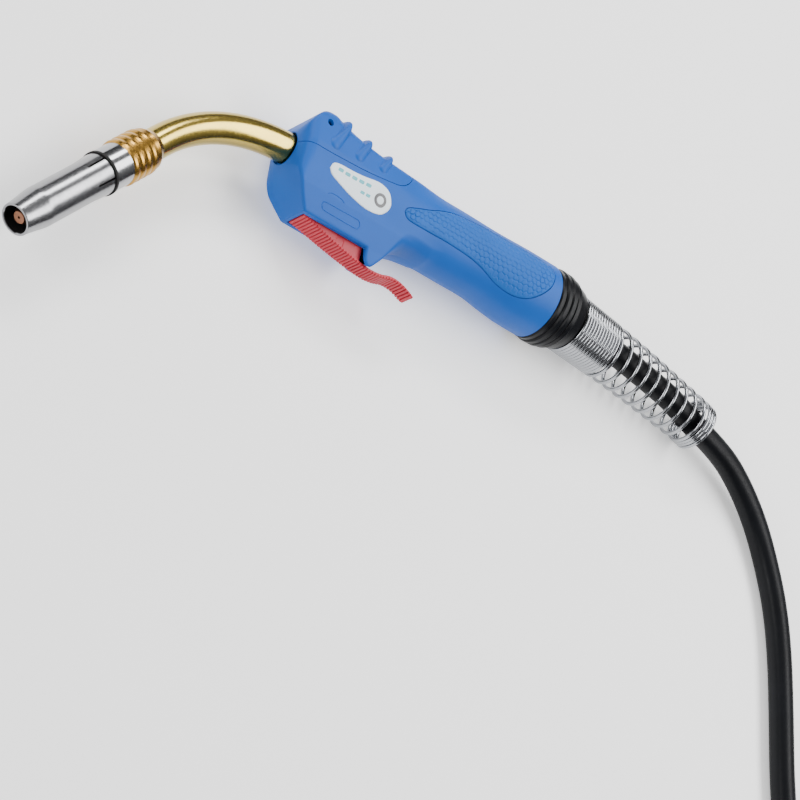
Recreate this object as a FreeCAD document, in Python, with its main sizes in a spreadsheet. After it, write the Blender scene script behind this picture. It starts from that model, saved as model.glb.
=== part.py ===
import FreeCAD, Part
import math
import os
import re
import Sketcher
from FreeCAD import Placement, Rotation, Vector

# A gas-cooled MIG/MAG welding torch (24 class, 250 A) lying on its side on a bench, with its cable and
# central connector.  Two frames are used:
#   torch frame  X rearwards along the handle from the handle's rear rim (so the handle is at negative X),
#                Z away from the trigger, Y through the handle's thickness;
#   bench frame  the frame of the finished part: +Z up from the bench, +X as the torch's X,
#                +Y as the torch's Z, origin at the bottom centre of the torch without its cable.

doc = FreeCAD.newDocument("welding_torch")
sizes = doc.addObject("Spreadsheet::Sheet", "sizes")

DRIVING_DIMENSIONS = [
    ("nozzle_length", 53.6, "gas nozzle, mouth to rear edge"),
    ("nozzle_mouth_r", 7.55, "outside of the mouth"),
    ("nozzle_bore_r", 6.25, "bore at the mouth"),
    ("nozzle_body_r", 9.3, "parallel part of the nozzle"),
    ("seat_r", 8.4, "spigot that the nozzle slides on"),
    ("running_gap", 0.05, "radial play of a running fit"),
    ("sleeve_r", 10.05, "plated sleeve behind the nozzle"),
    ("rib_r", 10.9, "crest of the ribbed collar on the neck"),
    ("rib_pitch", 4.1, "spacing of the ribs"),
    ("neck_r", 7.6, "outside of the swan neck tube"),
    ("neck_bore_r", 5.9, "bore of the swan neck tube"),
    ("neck_bend_r", 91.0, "bend radius of the neck's centre line"),
    ("neck_bend_angle", 50.0, "degrees between nozzle and handle"),
    ("nozzle_run", 95.2, "nozzle mouth to the start of the bend"),
    ("neck_entry", 159.0, "end of the bend, ahead of the handle's rear rim"),
    ("neck_lift", 0.7, "neck axis above the handle axis"),
    ("tip_r", 4.0, "contact tip"),
    ("tip_recess", 2.5, "contact tip behind the nozzle mouth"),
    ("wall", 2.6, "handle wall"),
    ("grip_rear_r", 19.5, "round rear rim of the grip"),
    ("grip_half_width", 16.6, "grip, across"),
    ("grip_half_height", 19.0, "grip, trigger side to back"),
    ("head_half_width", 16.0, "head of the handle, across"),
    ("neck_hole_r", 8.95, "hole for the neck"),
    ("slot_half_width", 6.1, "trigger slot"),
    ("trigger_front_half_width", 5.6, "trigger at the pivot"),
    ("trigger_rear_half_width", 4.3, "trigger tail"),
    ("pivot_r", 1.5, "trigger pivot pin"),
    ("collar_r", 20.0, "crest of the rear collar"),
    ("collar_length", 20.5, "rear collar"),
    ("ferrule_r", 12.4, "ferrule that holds the support spring"),
    ("spring_front_r", 16.1, "support spring, outside, at the collar"),
    ("spring_rear_r", 13.4, "support spring, outside, at its end"),
    ("spring_wire", 1.9, "support spring wire"),
    ("cable_d", 13.0, "torch cable"),
    ("coil_mid_r", 71.5, "stored coil, middle of its turns"),
    ("coil_layers", 2.0, "turns on top of each other in the coil"),
    ("coil_columns", 3.0, "turns beside each other in the coil"),
    ("connector_r", 19.0, "connector shell"),
    ("nut_r", 23.5, "connector hand nut"),
    ("plug_r", 15.0, "brass body of the connector"),
    ("plug_pin_r", 5.0, "central pin of the connector"),
    ("plug_pin_length", 22.0, "central pin of the connector"),
]

ALIASES = {alias for alias, amount, meaning in DRIVING_DIMENSIONS}
for row, (alias, amount, meaning) in enumerate(DRIVING_DIMENSIONS, start=1):
    sizes.set(f"A{row}", meaning)
    sizes.set(f"B{row}", str(amount))
    sizes.setAlias(f"B{row}", alias)
doc.recompute()


def link(text):
    """An expression that reads the sheet, from text that uses the sheet's aliases."""
    return re.sub(r"[a-z_]\w*", lambda word: "sizes." + word[0] if word[0] in ALIASES else word[0], str(text))


def amount_of(text):
    """The number that a text of aliases, or a plain number, stands for."""
    if isinstance(text, (int, float)):
        return float(text)
    found = sizes.evalExpression(link(text))
    return float(getattr(found, "Value", found))


def bind(thing, prop, text):
    """Bind a property to an expression of the sheet's aliases."""
    thing.setExpression(prop, link(text))


# ---------------------------------------------------------------- placements

TORCH_X = 82.7
TORCH_Y = 40.41
TORCH_HEIGHT = amount_of("collar_r")
TORCH = Placement(Vector(TORCH_X, TORCH_Y, TORCH_HEIGHT), Rotation(Vector(1, 0, 0), -90))

bend_r = amount_of("neck_bend_r")
bend_angle = math.radians(amount_of("neck_bend_angle"))
neck_entry = Vector(-amount_of("neck_entry"), 0, amount_of("neck_lift"))
bend_centre = neck_entry - Vector(0, 0, bend_r)
bend_front = bend_centre + Vector(-bend_r * math.sin(bend_angle), 0, bend_r * math.cos(bend_angle))
nozzle_axis = Vector(math.cos(bend_angle), 0, math.sin(bend_angle))
nozzle_mouth = bend_front - nozzle_axis * amount_of("nozzle_run")
# Nozzle frame: origin at the mouth's centre, X rearwards along the nozzle.
NOZZLE = Placement(nozzle_mouth, Rotation(Vector(0, 1, 0), -math.degrees(bend_angle)))
TO_X = Rotation(Vector(0, 0, 1), Vector(1, 0, 0))

torch_nodes = []
bench_nodes = []


def keep(thing, label, place, nodes=torch_nodes):
    """Name a finished sub-part and remember its place in its frame."""
    thing.Label = label
    nodes.append((thing, place))
    return thing


# ---------------------------------------------------------------- building blocks

def new_body(name):
    return doc.addObject("PartDesign::Body", name)


def sketch_on(body, role, name):
    """A sketch on one of the body's own origin planes."""
    sketch = body.newObject("Sketcher::SketchObject", name)
    plane = [item for item in body.Origin.OriginFeatures if item.Role == role][0]
    sketch.AttachmentSupport = (plane, [""])
    sketch.MapMode = "FlatFace"
    return sketch


def driven_outline(sketch, corners):
    """A closed outline of straight lines, each corner held by two dimensions bound to the sheet."""
    places = [Vector(amount_of(h), amount_of(v), 0) for h, v in corners]
    count = len(places)
    for index in range(count):
        sketch.addGeometry(Part.LineSegment(places[index], places[(index + 1) % count]), False)
    for index in range(count):
        sketch.addConstraint(Sketcher.Constraint("Coincident", index, 2, (index + 1) % count, 1))
    for index, (h, v) in enumerate(corners):
        for kind, text, number in (("DistanceX", h, places[index].x), ("DistanceY", v, places[index].y)):
            constraint = sketch.addConstraint(Sketcher.Constraint(kind, -1, 1, index, 1, number))
            if not isinstance(text, (int, float)):
                bind(sketch, f"Constraints[{constraint}]", text)


def curved_outline(sketch, steps):
    """A closed outline of lines and three-point arcs.

    steps are (h, v) for a corner, or (h, v, "through") for the middle point of an arc between two corners.
    """
    count = len(steps)
    corners = [index for index, step in enumerate(steps) if len(step) == 2]
    for here, there in zip(corners, corners[1:] + corners[:1]):
        start = Vector(steps[here][0], steps[here][1], 0)
        end = Vector(steps[there][0], steps[there][1], 0)
        middle = steps[(here + 1) % count]
        if len(middle) == 3:
            sketch.addGeometry(Part.Arc(start, Vector(middle[0], middle[1], 0), end), False)
        else:
            sketch.addGeometry(Part.LineSegment(start, end), False)


def turned(name, corners):
    """A body turned about its X axis; corners are (distance along X, radius)."""
    body = new_body(name)
    sketch = sketch_on(body, "XZ_Plane", name + "_outline")
    driven_outline(sketch, corners)
    turn = body.newObject("PartDesign::Revolution", name + "_turn")
    turn.Profile = sketch
    turn.ReferenceAxis = (sketch, ["H_Axis"])
    turn.Angle = 360
    return body


def slab(name, role, steps, thickness):
    """A body padded equally to both sides of an origin plane from a curved outline."""
    body = new_body(name)
    sketch = sketch_on(body, role, name + "_outline")
    curved_outline(sketch, steps)
    pad = body.newObject("PartDesign::Pad", name + "_pad")
    pad.Profile = sketch
    pad.SideType = "Symmetric"
    bind(pad, "Length", thickness)
    return body


def rod(name, radius, length, base, direction):
    """A Part cylinder from base along direction."""
    cylinder = doc.addObject("Part::Cylinder", name)
    bind(cylinder, "Radius", radius)
    bind(cylinder, "Height", length)
    cylinder.Placement = Placement(base, Rotation(Vector(0, 0, 1), direction))
    return cylinder


def block(name, low, high):
    """A Part box between two corners."""
    box = doc.addObject("Part::Box", name)
    box.Length, box.Width, box.Height = (high[0] - low[0], high[1] - low[1], high[2] - low[2])
    box.Placement = Placement(Vector(*low), Rotation())
    return box


def fused(name, things):
    result = doc.addObject("Part::MultiFuse", name)
    result.Shapes = things
    result.Refine = True
    return result


def cut(name, base, tool):
    result = doc.addObject("Part::Cut", name)
    result.Base = base
    result.Tool = tool
    result.Refine = True
    return result


def common(name, things):
    result = doc.addObject("Part::MultiCommon", name)
    result.Shapes = things
    result.Refine = True
    return result


def same_shape(name, thing):
    """A second object with the shape of a thing that also cuts its neighbour, so that each has its own place."""
    result = doc.addObject("Part::Refine", name)
    result.Source = thing
    return result


def bent_rod(name, radius, front_run, rear_run):
    """A rod along the neck's centre line: straight, through the bend, straight."""
    front = rod(name + "_front", radius, front_run, bend_front, nozzle_axis * -1)
    rear = rod(name + "_rear", radius, rear_run, neck_entry, Vector(1, 0, 0))
    bend = doc.addObject("Part::Torus", name + "_bend")
    bind(bend, "Radius1", "neck_bend_r")
    bind(bend, "Radius2", radius)
    bind(bend, "Angle3", "neck_bend_angle")
    bend.Placement = Placement(bend_centre, Rotation(Vector(0, 0, 1), Vector(-1, 0, 0), Vector(0, -1, 0), "XYZ"))
    return fused(name, [front, bend, rear])


# ---------------------------------------------------------------- front end, on the nozzle axis

def make_front_end():
    flange_at = "nozzle_length + 0.3"
    nozzle = turned("nozzle", [
        (0, "nozzle_bore_r"), (0, "nozzle_mouth_r"), (4.5, "nozzle_mouth_r + 0.45"), (13.5, "nozzle_body_r"),
        (44, "nozzle_body_r"), ("nozzle_length", "nozzle_body_r + 0.5"),
        ("nozzle_length", "seat_r + running_gap"), (38, "seat_r + running_gap"), (37.5, 8.1), (16, 8.1),
        (5, "nozzle_bore_r + 0.3")])
    slit = nozzle.newObject("Sketcher::SketchObject", "nozzle_slit_outline")
    plane = [item for item in nozzle.Origin.OriginFeatures if item.Role == "XY_Plane"][0]
    slit.AttachmentSupport = (plane, [""])
    slit.MapMode = "FlatFace"
    driven_outline(slit, [("nozzle_length - 10", -0.5), ("nozzle_length + 1", -0.5),
                          ("nozzle_length + 1", 0.5), ("nozzle_length - 10", 0.5)])
    doc.recompute()
    pocket = nozzle.newObject("PartDesign::Pocket", "nozzle_slits")
    pocket.Profile = slit
    pocket.SideType = "Symmetric"
    pocket.Length = 40
    pattern = nozzle.newObject("PartDesign::PolarPattern", "nozzle_slit_pairs")
    pattern.Originals = [pocket]
    pattern.Axis = (slit, ["H_Axis"])
    pattern.Angle = 180
    pattern.Occurrences = 2
    nozzle.Tip = pattern
    keep(nozzle, "gas_nozzle", NOZZLE)

    seat = turned("seat", [
        (38, 6.6), (38, "seat_r"), (flange_at, "seat_r"), (flange_at, "sleeve_r + 0.3"),
        ("nozzle_length + 1.6", "sleeve_r + 0.3"), ("nozzle_length + 1.6", "sleeve_r"),
        (66, "sleeve_r"), (66, 6.6)])
    keep(seat, "nozzle_seat_sleeve", NOZZLE)

    insulator = turned("insulator", [(38.5, 5.6), (38.5, 6.6), (66, 6.6), (66, 5.6)])
    keep(insulator, "insulating_sleeve", NOZZLE)

    ribs = [(66, "neck_bore_r + 0.1"), (66, "rib_r - 0.9")]
    for index in range(4):
        start = f"66 + rib_pitch * {index}"
        ribs += [(start + " + 0.7", "rib_r - 0.2"), (start + " + rib_pitch * 0.45", "rib_r"),
                 (start + " + rib_pitch - 0.7", "rib_r - 0.2"), (start + " + rib_pitch", "rib_r - 0.8")]
    ribs += [(84.6, "rib_r - 0.9"), (88.6, "neck_r + 0.3"), (88.6, "neck_r"), (70, "neck_r"),
             (70, "neck_bore_r + 0.1")]
    keep(turned("ribs", ribs), "neck_rib_collar", NOZZLE)

    diffuser = turned("diffuser", [(27, 5.4), (27, 7.0), (28.5, 7.6), (36, 7.6), (36, 5.4)])
    hole = sketch_on(diffuser, "YZ_Plane", "diffuser_hole_outline")
    hole.addGeometry(Part.Circle(Vector(6.5, 0, 0), Vector(0, 0, 1), 0.6), False)
    doc.recompute()
    drill = diffuser.newObject("PartDesign::Pocket", "diffuser_hole")
    drill.Profile = hole
    drill.SideType = "Symmetric"
    drill.Length = 100
    ring = diffuser.newObject("PartDesign::PolarPattern", "diffuser_holes")
    ring.Originals = [drill]
    ring.Axis = (hole, ["N_Axis"])
    ring.Angle = 360
    ring.Occurrences = 8
    diffuser.Tip = ring
    keep(diffuser, "gas_diffuser", NOZZLE)

    holder = turned("holder", [(22, 3.0), (22, 4.6), (23, 5.4), (44, 5.4), (44, 2.2), (31, 2.2), (31, 3.0)])
    keep(holder, "tip_holder", NOZZLE)

    conductor = turned("conductor", [(44, 2.3), (44, 5.6), (70, 5.6), (70, 2.3)])
    keep(conductor, "inner_conductor", NOZZLE)

    tip = turned("tip", [
        ("tip_recess", 0.6), ("tip_recess", "tip_r - 1.2"), ("tip_recess + 2.2", "tip_r"), (22, "tip_r"),
        (22, 3.0), (30, 3.0), (30, 0.9), (27, 0.6)])
    keep(tip, "contact_tip", NOZZLE)


def make_neck():
    neck_rear_run = 31
    outer = bent_rod("neck_outer", "neck_r", "nozzle_run - 70", neck_rear_run)
    bore = bent_rod("neck_bore", "neck_bore_r", "nozzle_run - 70", neck_rear_run)
    keep(cut("neck", outer, bore), "swan_neck", Placement())

    liner_outer = bent_rod("liner_outer", 2.1, "nozzle_run - 44", 65)
    liner_bore = bent_rod("liner_bore", 1.0, "nozzle_run - 44", 65)
    keep(cut("liner", liner_outer, liner_bore), "wire_liner", Placement())

    nut_x = -amount_of("neck_entry") + neck_rear_run
    hexagon = doc.addObject("Part::Prism", "nut_hexagon")
    hexagon.Polygon = 6
    hexagon.Circumradius = 10.8
    hexagon.Height = 16
    hexagon.Placement = Placement(Vector(nut_x - 6, 0, neck_entry.z), TO_X)
    nut_bore = rod("nut_bore", "neck_r", 6, Vector(nut_x - 6, 0, neck_entry.z), Vector(1, 0, 0))
    nut_through = rod("nut_through", 2.1, 20, Vector(nut_x - 2, 0, neck_entry.z), Vector(1, 0, 0))
    keep(cut("nut", hexagon, fused("nut_bores", [nut_bore, nut_through])), "neck_clamp_nut", Placement())

    fitting = turned("fitting", [(0, 2.1), (0, 8.2), (12, 8.2), (14, 6.5), (24, 6.5), (24, 2.1)])
    keep(fitting, "cable_end_fitting", Placement(Vector(nut_x + 10, 0, neck_entry.z), Rotation()))


# ---------------------------------------------------------------- handle

# Stations of the grip: distance ahead of the rear rim, extra half width, extra half height, centre's lift.
GRIP_STATIONS = [(16, 2.3, 0.8, -0.8), (38, 0.6, -0.4, 0.2), (58, 0.0, 0.0, 0.3), (80, 0.2, 0.2, 0.4),
                 (100, -0.5, 0.2, 0.8), (122, -3.4, -1.0, 1.4)]
GRIP_REAR_LIFT = -0.9

HEAD_SIDE = [
    (-151.5, -31), (-158.5, -19.5, "through"), (-163, -6), (-163, 9.5), (-159, 18.5, "through"), (-152.5, 26.5),
    (-147, 28.6, "through"), (-140, 27.9), (-115, 22.0, "through"), (-86, 19.0), (-78, 0), (-86, -17.5),
    (-97, -24.5, "through"), (-106, -38.0), (-111.5, -38.0), (-113, -31)]

HEAD_SECTION = [
    (-16.0, 3), (-12.7, -19), (-8.7, -31), (-6.9, -39), (6.9, -39), (8.7, -31), (12.7, -19), (16.0, 3),
    (14.6, 21), (12.5, 31), (-12.5, 31), (-14.6, 21)]

PARTING_LINE = [
    (-170, -1.6), (-160, -1.4), (-134, -0.6, "through"), (-110, 3.0), (-103.5, 5.6, "through"), (-99.5, 12),
    (-96, 24), (-96, 40), (-170, 40)]


def grip_loft(name, inset, rear_x=0.0):
    """The grip as a loft of ellipses, inset from the outer surface; its rear end can run past the rim."""
    stations = [(-rear_x, "grip_rear_r", "grip_rear_r", GRIP_REAR_LIFT)]
    stations += [(ahead, f"grip_half_width + {wide}", f"grip_half_height + {high}", lift)
                 for ahead, wide, high, lift in GRIP_STATIONS]
    sections = []
    for index, (ahead, wide, high, lift) in enumerate(stations):
        oval = doc.addObject("Part::Ellipse", f"{name}_oval_{index}")
        bind(oval, "MajorRadius", f"{high} - {inset}")
        bind(oval, "MinorRadius", f"{wide} - {inset}")
        turned_up = Rotation(Vector(0, 0, 1), Vector(0, 1, 0), Vector(-1, 0, 0), "XYZ")
        oval.Placement = Placement(Vector(-ahead, 0, lift), turned_up)
        sections.append(oval)
    loft = doc.addObject("Part::Loft", name)
    loft.Sections = sections
    loft.Solid = True
    loft.Ruled = False
    return loft


def head_block(name, side, half_width, section_scale):
    """The head: a side view and a cross-section, each padded, and what they share."""
    from_side = slab(name + "_side", "XZ_Plane", side, f"2 * {half_width}")
    section = [(y * section_scale, z) for y, z in HEAD_SECTION]
    across = slab(name + "_across", "YZ_Plane", section, 200)
    across.Placement = Placement(Vector(-120, 0, 0), Rotation())
    plan = slab(name + "_plan", "XY_Plane", [
        (-161.5, -12), (-163, 0, "through"), (-161.5, 12), (-156.5, 16.5), (-112, 16.5), (-96, 15.2, "through"),
        (-78, 10), (-78, -10), (-96, -15.2, "through"), (-112, -16.5), (-156.5, -16.5)], 120)
    return common(name, [from_side, across, plan])


def make_ridges():
    """Three thumb ridges across the top cover."""
    ridges = []
    for index, (along, crest) in enumerate(((-134.6, 28.0), (-121.4, 25.2), (-108.2, 22.9))):
        ridge = doc.addObject("Part::Ellipsoid", f"ridge_{index}")
        ridge.Radius1 = 3.0
        ridge.Radius2 = 15.3
        ridge.Radius3 = 12.0
        ridge.Placement = Placement(Vector(along, 0, crest - 12.4), Rotation(Vector(1, 0, 0), 90))
        ridges.append(ridge)
    return ridges


def make_handle():
    head = head_block("head", HEAD_SIDE, "head_half_width", 1.0)
    solid = fused("handle_solid", [head, grip_loft("grip", 0)])
    ridges = fused("ridges", make_ridges())
    top_zone = block("ridge_zone", (-170, -15.0, 12), (-98, 15.0, 40))
    solid = fused("handle_with_ridges", [solid, common("ridges_on_top", [ridges, top_zone])])

    inner_side = [
        (-153, -10), (-159.5, -5), (-159.5, 9), (-150, 22.5), (-144, 24.6, "through"), (-138, 24.0),
        (-112, 18.2, "through"), (-86, 15.0), (-86, -14), (-112.4, -16), (-112.4, -12), (-149.9, -12)]
    inner_head = head_block("inner_head", inner_side, "(head_half_width - wall)", 0.82)
    cavity = fused("cavity", [inner_head, grip_loft("inner_grip", "wall", 1.0)])
    slot = slab("trigger_slot", "XZ_Plane", [
        (-149.9, -60), (-149.9, -10), (-112.4, -10), (-112.4, -33), (-80, -33), (-80, -60)],
        "2 * slot_half_width")
    hole = rod("neck_hole", "neck_hole_r", 20, Vector(-172, 0, neck_entry.z), Vector(1, 0, 0))
    pivot_hole = rod("pivot_hole", "pivot_r", 17, Vector(-145.5, -8.5, -26.5), Vector(0, 1, 0))
    openings = fused("handle_openings", [cavity, slot, hole, pivot_hole])
    shell = cut("handle_shell", solid, openings)

    screw_axis = Vector(-0.2, 0, 0.98).normalize()
    screw_tip = Vector(-140.1, 0, 10.0)
    boss_foot = screw_tip + screw_axis * 5.4
    seat = screw_tip + screw_axis * 12.5
    cover_zone = slab("cover_zone", "XZ_Plane", PARTING_LINE, 80)
    boss = rod("screw_boss", 4.4, 10.6, boss_foot, screw_axis)
    cover_blank = fused("cover_with_boss", [common("cover_blank", [shell, cover_zone]), boss])
    screw_way = fused("screw_way", [rod("screw_recess", 3.2, 30, seat, screw_axis),
                                    rod("screw_bore", 1.8, 30, boss_foot - screw_axis, screw_axis)])
    keep(cut("cover_drilled", cover_blank, screw_way), "handle_top_cover", Placement())

    screw = fused("screw", [rod("screw_head", 3.0, 2.4, seat, screw_axis),
                            rod("screw_shank", 1.6, 12.6, screw_tip, screw_axis)])
    keep(same_shape("screw_part", screw), "cover_screw", Placement())

    # The bulkhead carries the neck and takes the cover's screw; the rib below it holds the trigger's spring.
    bulkhead_blank = block("bulkhead_blank", (-143.5, -12.2, -9.5), (-135.5, 12.2, 14.0))
    neck_seat = rod("neck_seat", "neck_r", 12, Vector(-145, 0, neck_entry.z), Vector(1, 0, 0))
    bulkhead = cut("bulkhead", bulkhead_blank, fused("bulkhead_cuts", [neck_seat, screw]))
    rib = block("spring_rib", (-141.3, -7.0, -22.6), (-135.6, 7.0, -19.8))
    lower = cut("handle_lower", shell, cover_zone)

    pads = []
    skin = cut("pad_skin", grip_loft("pad_outside", -0.25), grip_loft("pad_inside", 1.5, 1.0))
    for side, middle in (("left", -16.0), ("right", 16.0)):
        zone = slab(f"pad_zone_{side}", "XZ_Plane", [
            (-99.8, -7.6), (-99.0, -11.2, "through"), (-95.5, -11.2), (-66, -10.8, "through"), (-46, -11.4),
            (-36, -13.6, "through"), (-26.5, -15.6), (-12.5, -11.5, "through"), (-6.5, -1.0), (-7.5, 9, "through"),
            (-16, 14.6), (-50, 13.2, "through"), (-84, 4.0)], 20)
        zone.Placement = Placement(Vector(0, middle, 0), Rotation())
        pad = common(f"pad_{side}", [skin, zone])
        pads.append(pad)
        keep(same_shape(f"pad_part_{side}", pad), f"grip_pad_{side}", Placement())
    body = cut("handle_body_bare", lower, fused("pads_together", pads))
    body = fused("handle_body_ribbed", [body, rib, bulkhead])
    keep(body, "handle_body", Placement())


def make_labels():
    """Blank name plates, one on each flat side of the head."""
    tilt = math.degrees(math.atan2(16.0 - 12.7, 3 + 19))
    for side, sign in (("left", -1), ("right", 1)):
        plate = slab(f"plate_{side}", "XZ_Plane", [
            (-143.4, -3.1), (-146.0, -6.4, "through"), (-143.6, -9.7), (-119.5, -15.9),
            (-108.6, -8.2, "through"), (-116.2, -1.2)], 0.5)
        lean = Rotation(Vector(1, 0, 0), -sign * tilt)
        out = Vector(0, sign * math.cos(math.radians(tilt)), -math.sin(math.radians(tilt)))
        on_side = Vector(0, sign * 15.1, -3) + out * 0.26 - lean.multVec(Vector(0, 0, -3))
        keep(plate, f"name_plate_{side}", Placement(on_side, lean))


# ---------------------------------------------------------------- trigger and switch

def make_trigger():
    side = slab("trigger_side", "XZ_Plane", [
        (-149.2, -23.5), (-149.2, -30.8), (-129, -35.9, "through"), (-106, -39.8), (-98.5, -39.2, "through"),
        (-92.5, -37.0), (-85.5, -37.3, "through"), (-78.6, -40.2), (-76.4, -38.8, "through"), (-77.6, -36.4),
        (-86.5, -33.4, "through"), (-94, -34.6), (-100.5, -36.8, "through"), (-108, -37.1), (-113.7, -37.1),
        (-113.7, -28.5), (-124, -28.5), (-124, -26.0), (-128, -26.0), (-128, -28.5), (-141.5, -28.5),
        (-141.5, -23.5)], "2 * trigger_front_half_width")
    front = amount_of("trigger_front_half_width")
    rear = amount_of("trigger_rear_half_width")
    plan = slab("trigger_plan", "XY_Plane", [
        (-160, -front), (-146, -front), (-113, -rear - 0.2), (-70, -rear), (-70, rear), (-113, rear + 0.2),
        (-146, front), (-160, front)], 120)
    blank = common("trigger_blank", [side, plan])
    bore = rod("trigger_bore", "pivot_r + running_gap", 40, Vector(-145.5, -20, -26.5), Vector(0, 1, 0))
    spring_well = rod("spring_well", 2.6, 5, Vector(-138.4, 0, -30.6), Vector(0, 0, 1))
    keep(cut("trigger_cut", blank, fused("trigger_cuts", [bore, spring_well])), "trigger", Placement())

    pin = rod("pin", "pivot_r", 17, Vector(-145.5, -8.5, -26.5), Vector(0, 1, 0))
    keep(pin, "trigger_pivot_pin", Placement())

    coil = doc.addObject("Part::Helix", "return_spring_path")
    coil.Pitch = 1.25
    coil.Height = 7.4
    coil.Radius = 1.9
    wire = doc.addObject("Part::Circle", "return_spring_wire")
    wire.Radius = 0.22
    wire.Placement = Placement(Vector(1.9, 0, 0), Rotation(Vector(1, 0, 0), 90))
    spring = doc.addObject("Part::Sweep", "return_spring")
    spring.Sections = [wire]
    spring.Spine = (coil, ["Edge1"])
    spring.Solid = True
    spring.Frenet = True
    keep(spring, "trigger_return_spring", Placement(Vector(-138.4, 0, -30.2), Rotation()))


def make_switch():
    half = amount_of("slot_half_width")
    case = block("switch_case", (-134, -half, -22.6), (-114.5, half, -12.6))
    way = rod("plunger_way", "1.4 + running_gap", 6, Vector(-126, 0, -24), Vector(0, 0, 1))
    keep(cut("switch", case, way), "switch_body", Placement())
    plunger = rod("plunger", 1.4, 4.6, Vector(-126, 0, -25.7), Vector(0, 0, 1))
    keep(plunger, "switch_plunger", Placement())
    lugs = [block(f"lug_{index}", (-114.5, side - 0.4, -15.1), (-109.5, side + 0.4, -12.7))
            for index, side in enumerate((-1.8, 1.8))]
    keep(fused("lugs", lugs), "switch_terminals", Placement())
    wires = [rod(f"wire_{index}", 0.8, 22, Vector(-109.2, side, -13.6), Vector(21.5, 0, 7.0))
             for index, side in enumerate((-1.8, 1.8))]
    keep(fused("wires", wires), "control_wires", Placement())


# ---------------------------------------------------------------- rear of the handle

# The support spring's axis in the torch frame, from the collar to its last turn.
SPRING_AXIS = [(22.1, 0.2, -2.3), (36, 0.9, -3.4), (52, 1.7, -4.6), (68, 2.7, -5.9), (86, 3.9, -7.8), (103, 5.1, -9.7),
               (118, 5.9, -11.6), (127.2, 6.5, -13.7)]
COLLAR_LIFT = -1.2


def axis_frames(points):
    """Each point of a smooth axis with the direction of the axis there."""
    frames = []
    for index, here in enumerate(points):
        before = points[max(index - 1, 0)]
        after = points[min(index + 1, len(points) - 1)]
        frames.append((Vector(*here), (Vector(*after) - Vector(*before)).normalize()))
    return frames


def round_loft(name, frames, radii):
    """A loft of circles square to an axis."""
    circles = []
    for index, ((centre, direction), radius) in enumerate(zip(frames, radii)):
        circle = doc.addObject("Part::Circle", f"{name}_ring_{index}")
        bind(circle, "Radius", radius)
        circle.Placement = Placement(centre, Rotation(Vector(0, 0, 1), direction))
        circles.append(circle)
    loft = doc.addObject("Part::Loft", name)
    loft.Sections = circles
    loft.Solid = True
    return loft


def make_rear():
    ribs = [(0, "ferrule_r"), (0, "collar_r - 1.6")]
    for index, drop in enumerate((0.5, 0.0, 0.1, 1.0)):
        start = 0.6 + 3.6 * index
        ribs += [(start, f"collar_r - {drop + 0.8}"), (start + 0.8, f"collar_r - {drop}"),
                 (start + 2.8, f"collar_r - {drop}"), (start + 3.6, f"collar_r - {drop + 0.8}")]
    ribs += [("collar_length - 3.2", "collar_r - 2.4"), ("collar_length", "collar_r - 3.4"),
             ("collar_length", "ferrule_r")]
    keep(turned("collar", ribs), "rear_collar", Placement(Vector(0, 0, COLLAR_LIFT), Rotation()))

    ferrule = turned("ferrule", [(0, 8.2), (0, "ferrule_r"), ("collar_length + 6", "ferrule_r"),
                                 ("collar_length + 6", 8.2)])
    keep(ferrule, "spring_ferrule", Placement(Vector(0, 0, COLLAR_LIFT), Rotation()))

    frames = axis_frames(SPRING_AXIS)
    share = [index / (len(frames) - 1) for index in range(len(frames))]
    outer = [f"spring_front_r + (spring_rear_r - spring_front_r) * {part:.3f}" for part in share]
    inner = [text + " - spring_wire" for text in outer]
    longer = list(frames)
    longer[0] = (frames[0][0] - frames[0][1] * 2, frames[0][1])
    longer[-1] = (frames[-1][0] + frames[-1][1] * 2, frames[-1][1])
    tube = cut("spring_tube", round_loft("spring_outside", frames, outer), round_loft("spring_bore", longer, inner))
    keep(tube, "support_spring", Placement())

    along = Vector(1, 0, 0)
    centres = [(Vector(-94, 0, neck_entry.z), along), (Vector(-50, 0, 0.2), along), (Vector(-10, 0, -0.7), along),
               (Vector(8, 0.1, -1.3), along)]
    centres += frames
    keep(round_loft("held_cable", centres, ["cable_d / 2"] * len(centres)), "cable_in_handle", Placement())


# ---------------------------------------------------------------- free cable, coil and connector, on the bench

# The cable's route over the bench, millimetres in the bench frame, from the spring's last turn to the coil.
ROUTE_TO_COIL = [
    (209.9, 26.71, 13.5), (229.36, 22.27, 12.23), (246.6, 12.9, 10.2), (263.2, -1.5, 8), (275.8, -19.6, 6.5),
    (285.6, -41.5, 6.5), (292.1, -66.7, 6.5), (296.8, -98.3, 6.5), (301.5, -136, 6.5), (310, -173, 6.5),
    (321, -209, 6.5), (329, -246, 6.5)]
COIL_CENTRE = (247.0, -276.0)
# The end of the cable, from the coil's upper layer to the connector.
ROUTE_FROM_COIL = [(247, -360.5, 19.5), (222, -360, 20.5), (197, -355, 23.6), (176, -348, 23.6)]


def tangent_arc_wire(route):
    """Straight runs joined by tangent arcs, and the arcs' radii."""
    points = [Vector(*point) for point in route]
    edges = []
    radii = []
    at = points[0]
    for before, corner, after in zip(points, points[1:], points[2:]):
        inward = (corner - before).normalize()
        outward = (after - corner).normalize()
        half_turn = inward.getAngle(outward) / 2
        setback = 0.45 * min((corner - before).Length, (after - corner).Length)
        radius = setback / math.tan(half_turn)
        arc_start = corner - inward * setback
        arc_end = corner + outward * setback
        towards_centre = (outward - inward).normalize()
        centre = corner + towards_centre * (radius / math.cos(half_turn))
        middle = centre - towards_centre * radius
        edges.append(Part.LineSegment(at, arc_start).toShape())
        edges.append(Part.Arc(arc_start, middle, arc_end).toShape())
        radii.append(radius)
        at = arc_end
    edges.append(Part.LineSegment(at, points[-1]).toShape())
    return Part.Wire(edges), radii


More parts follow.
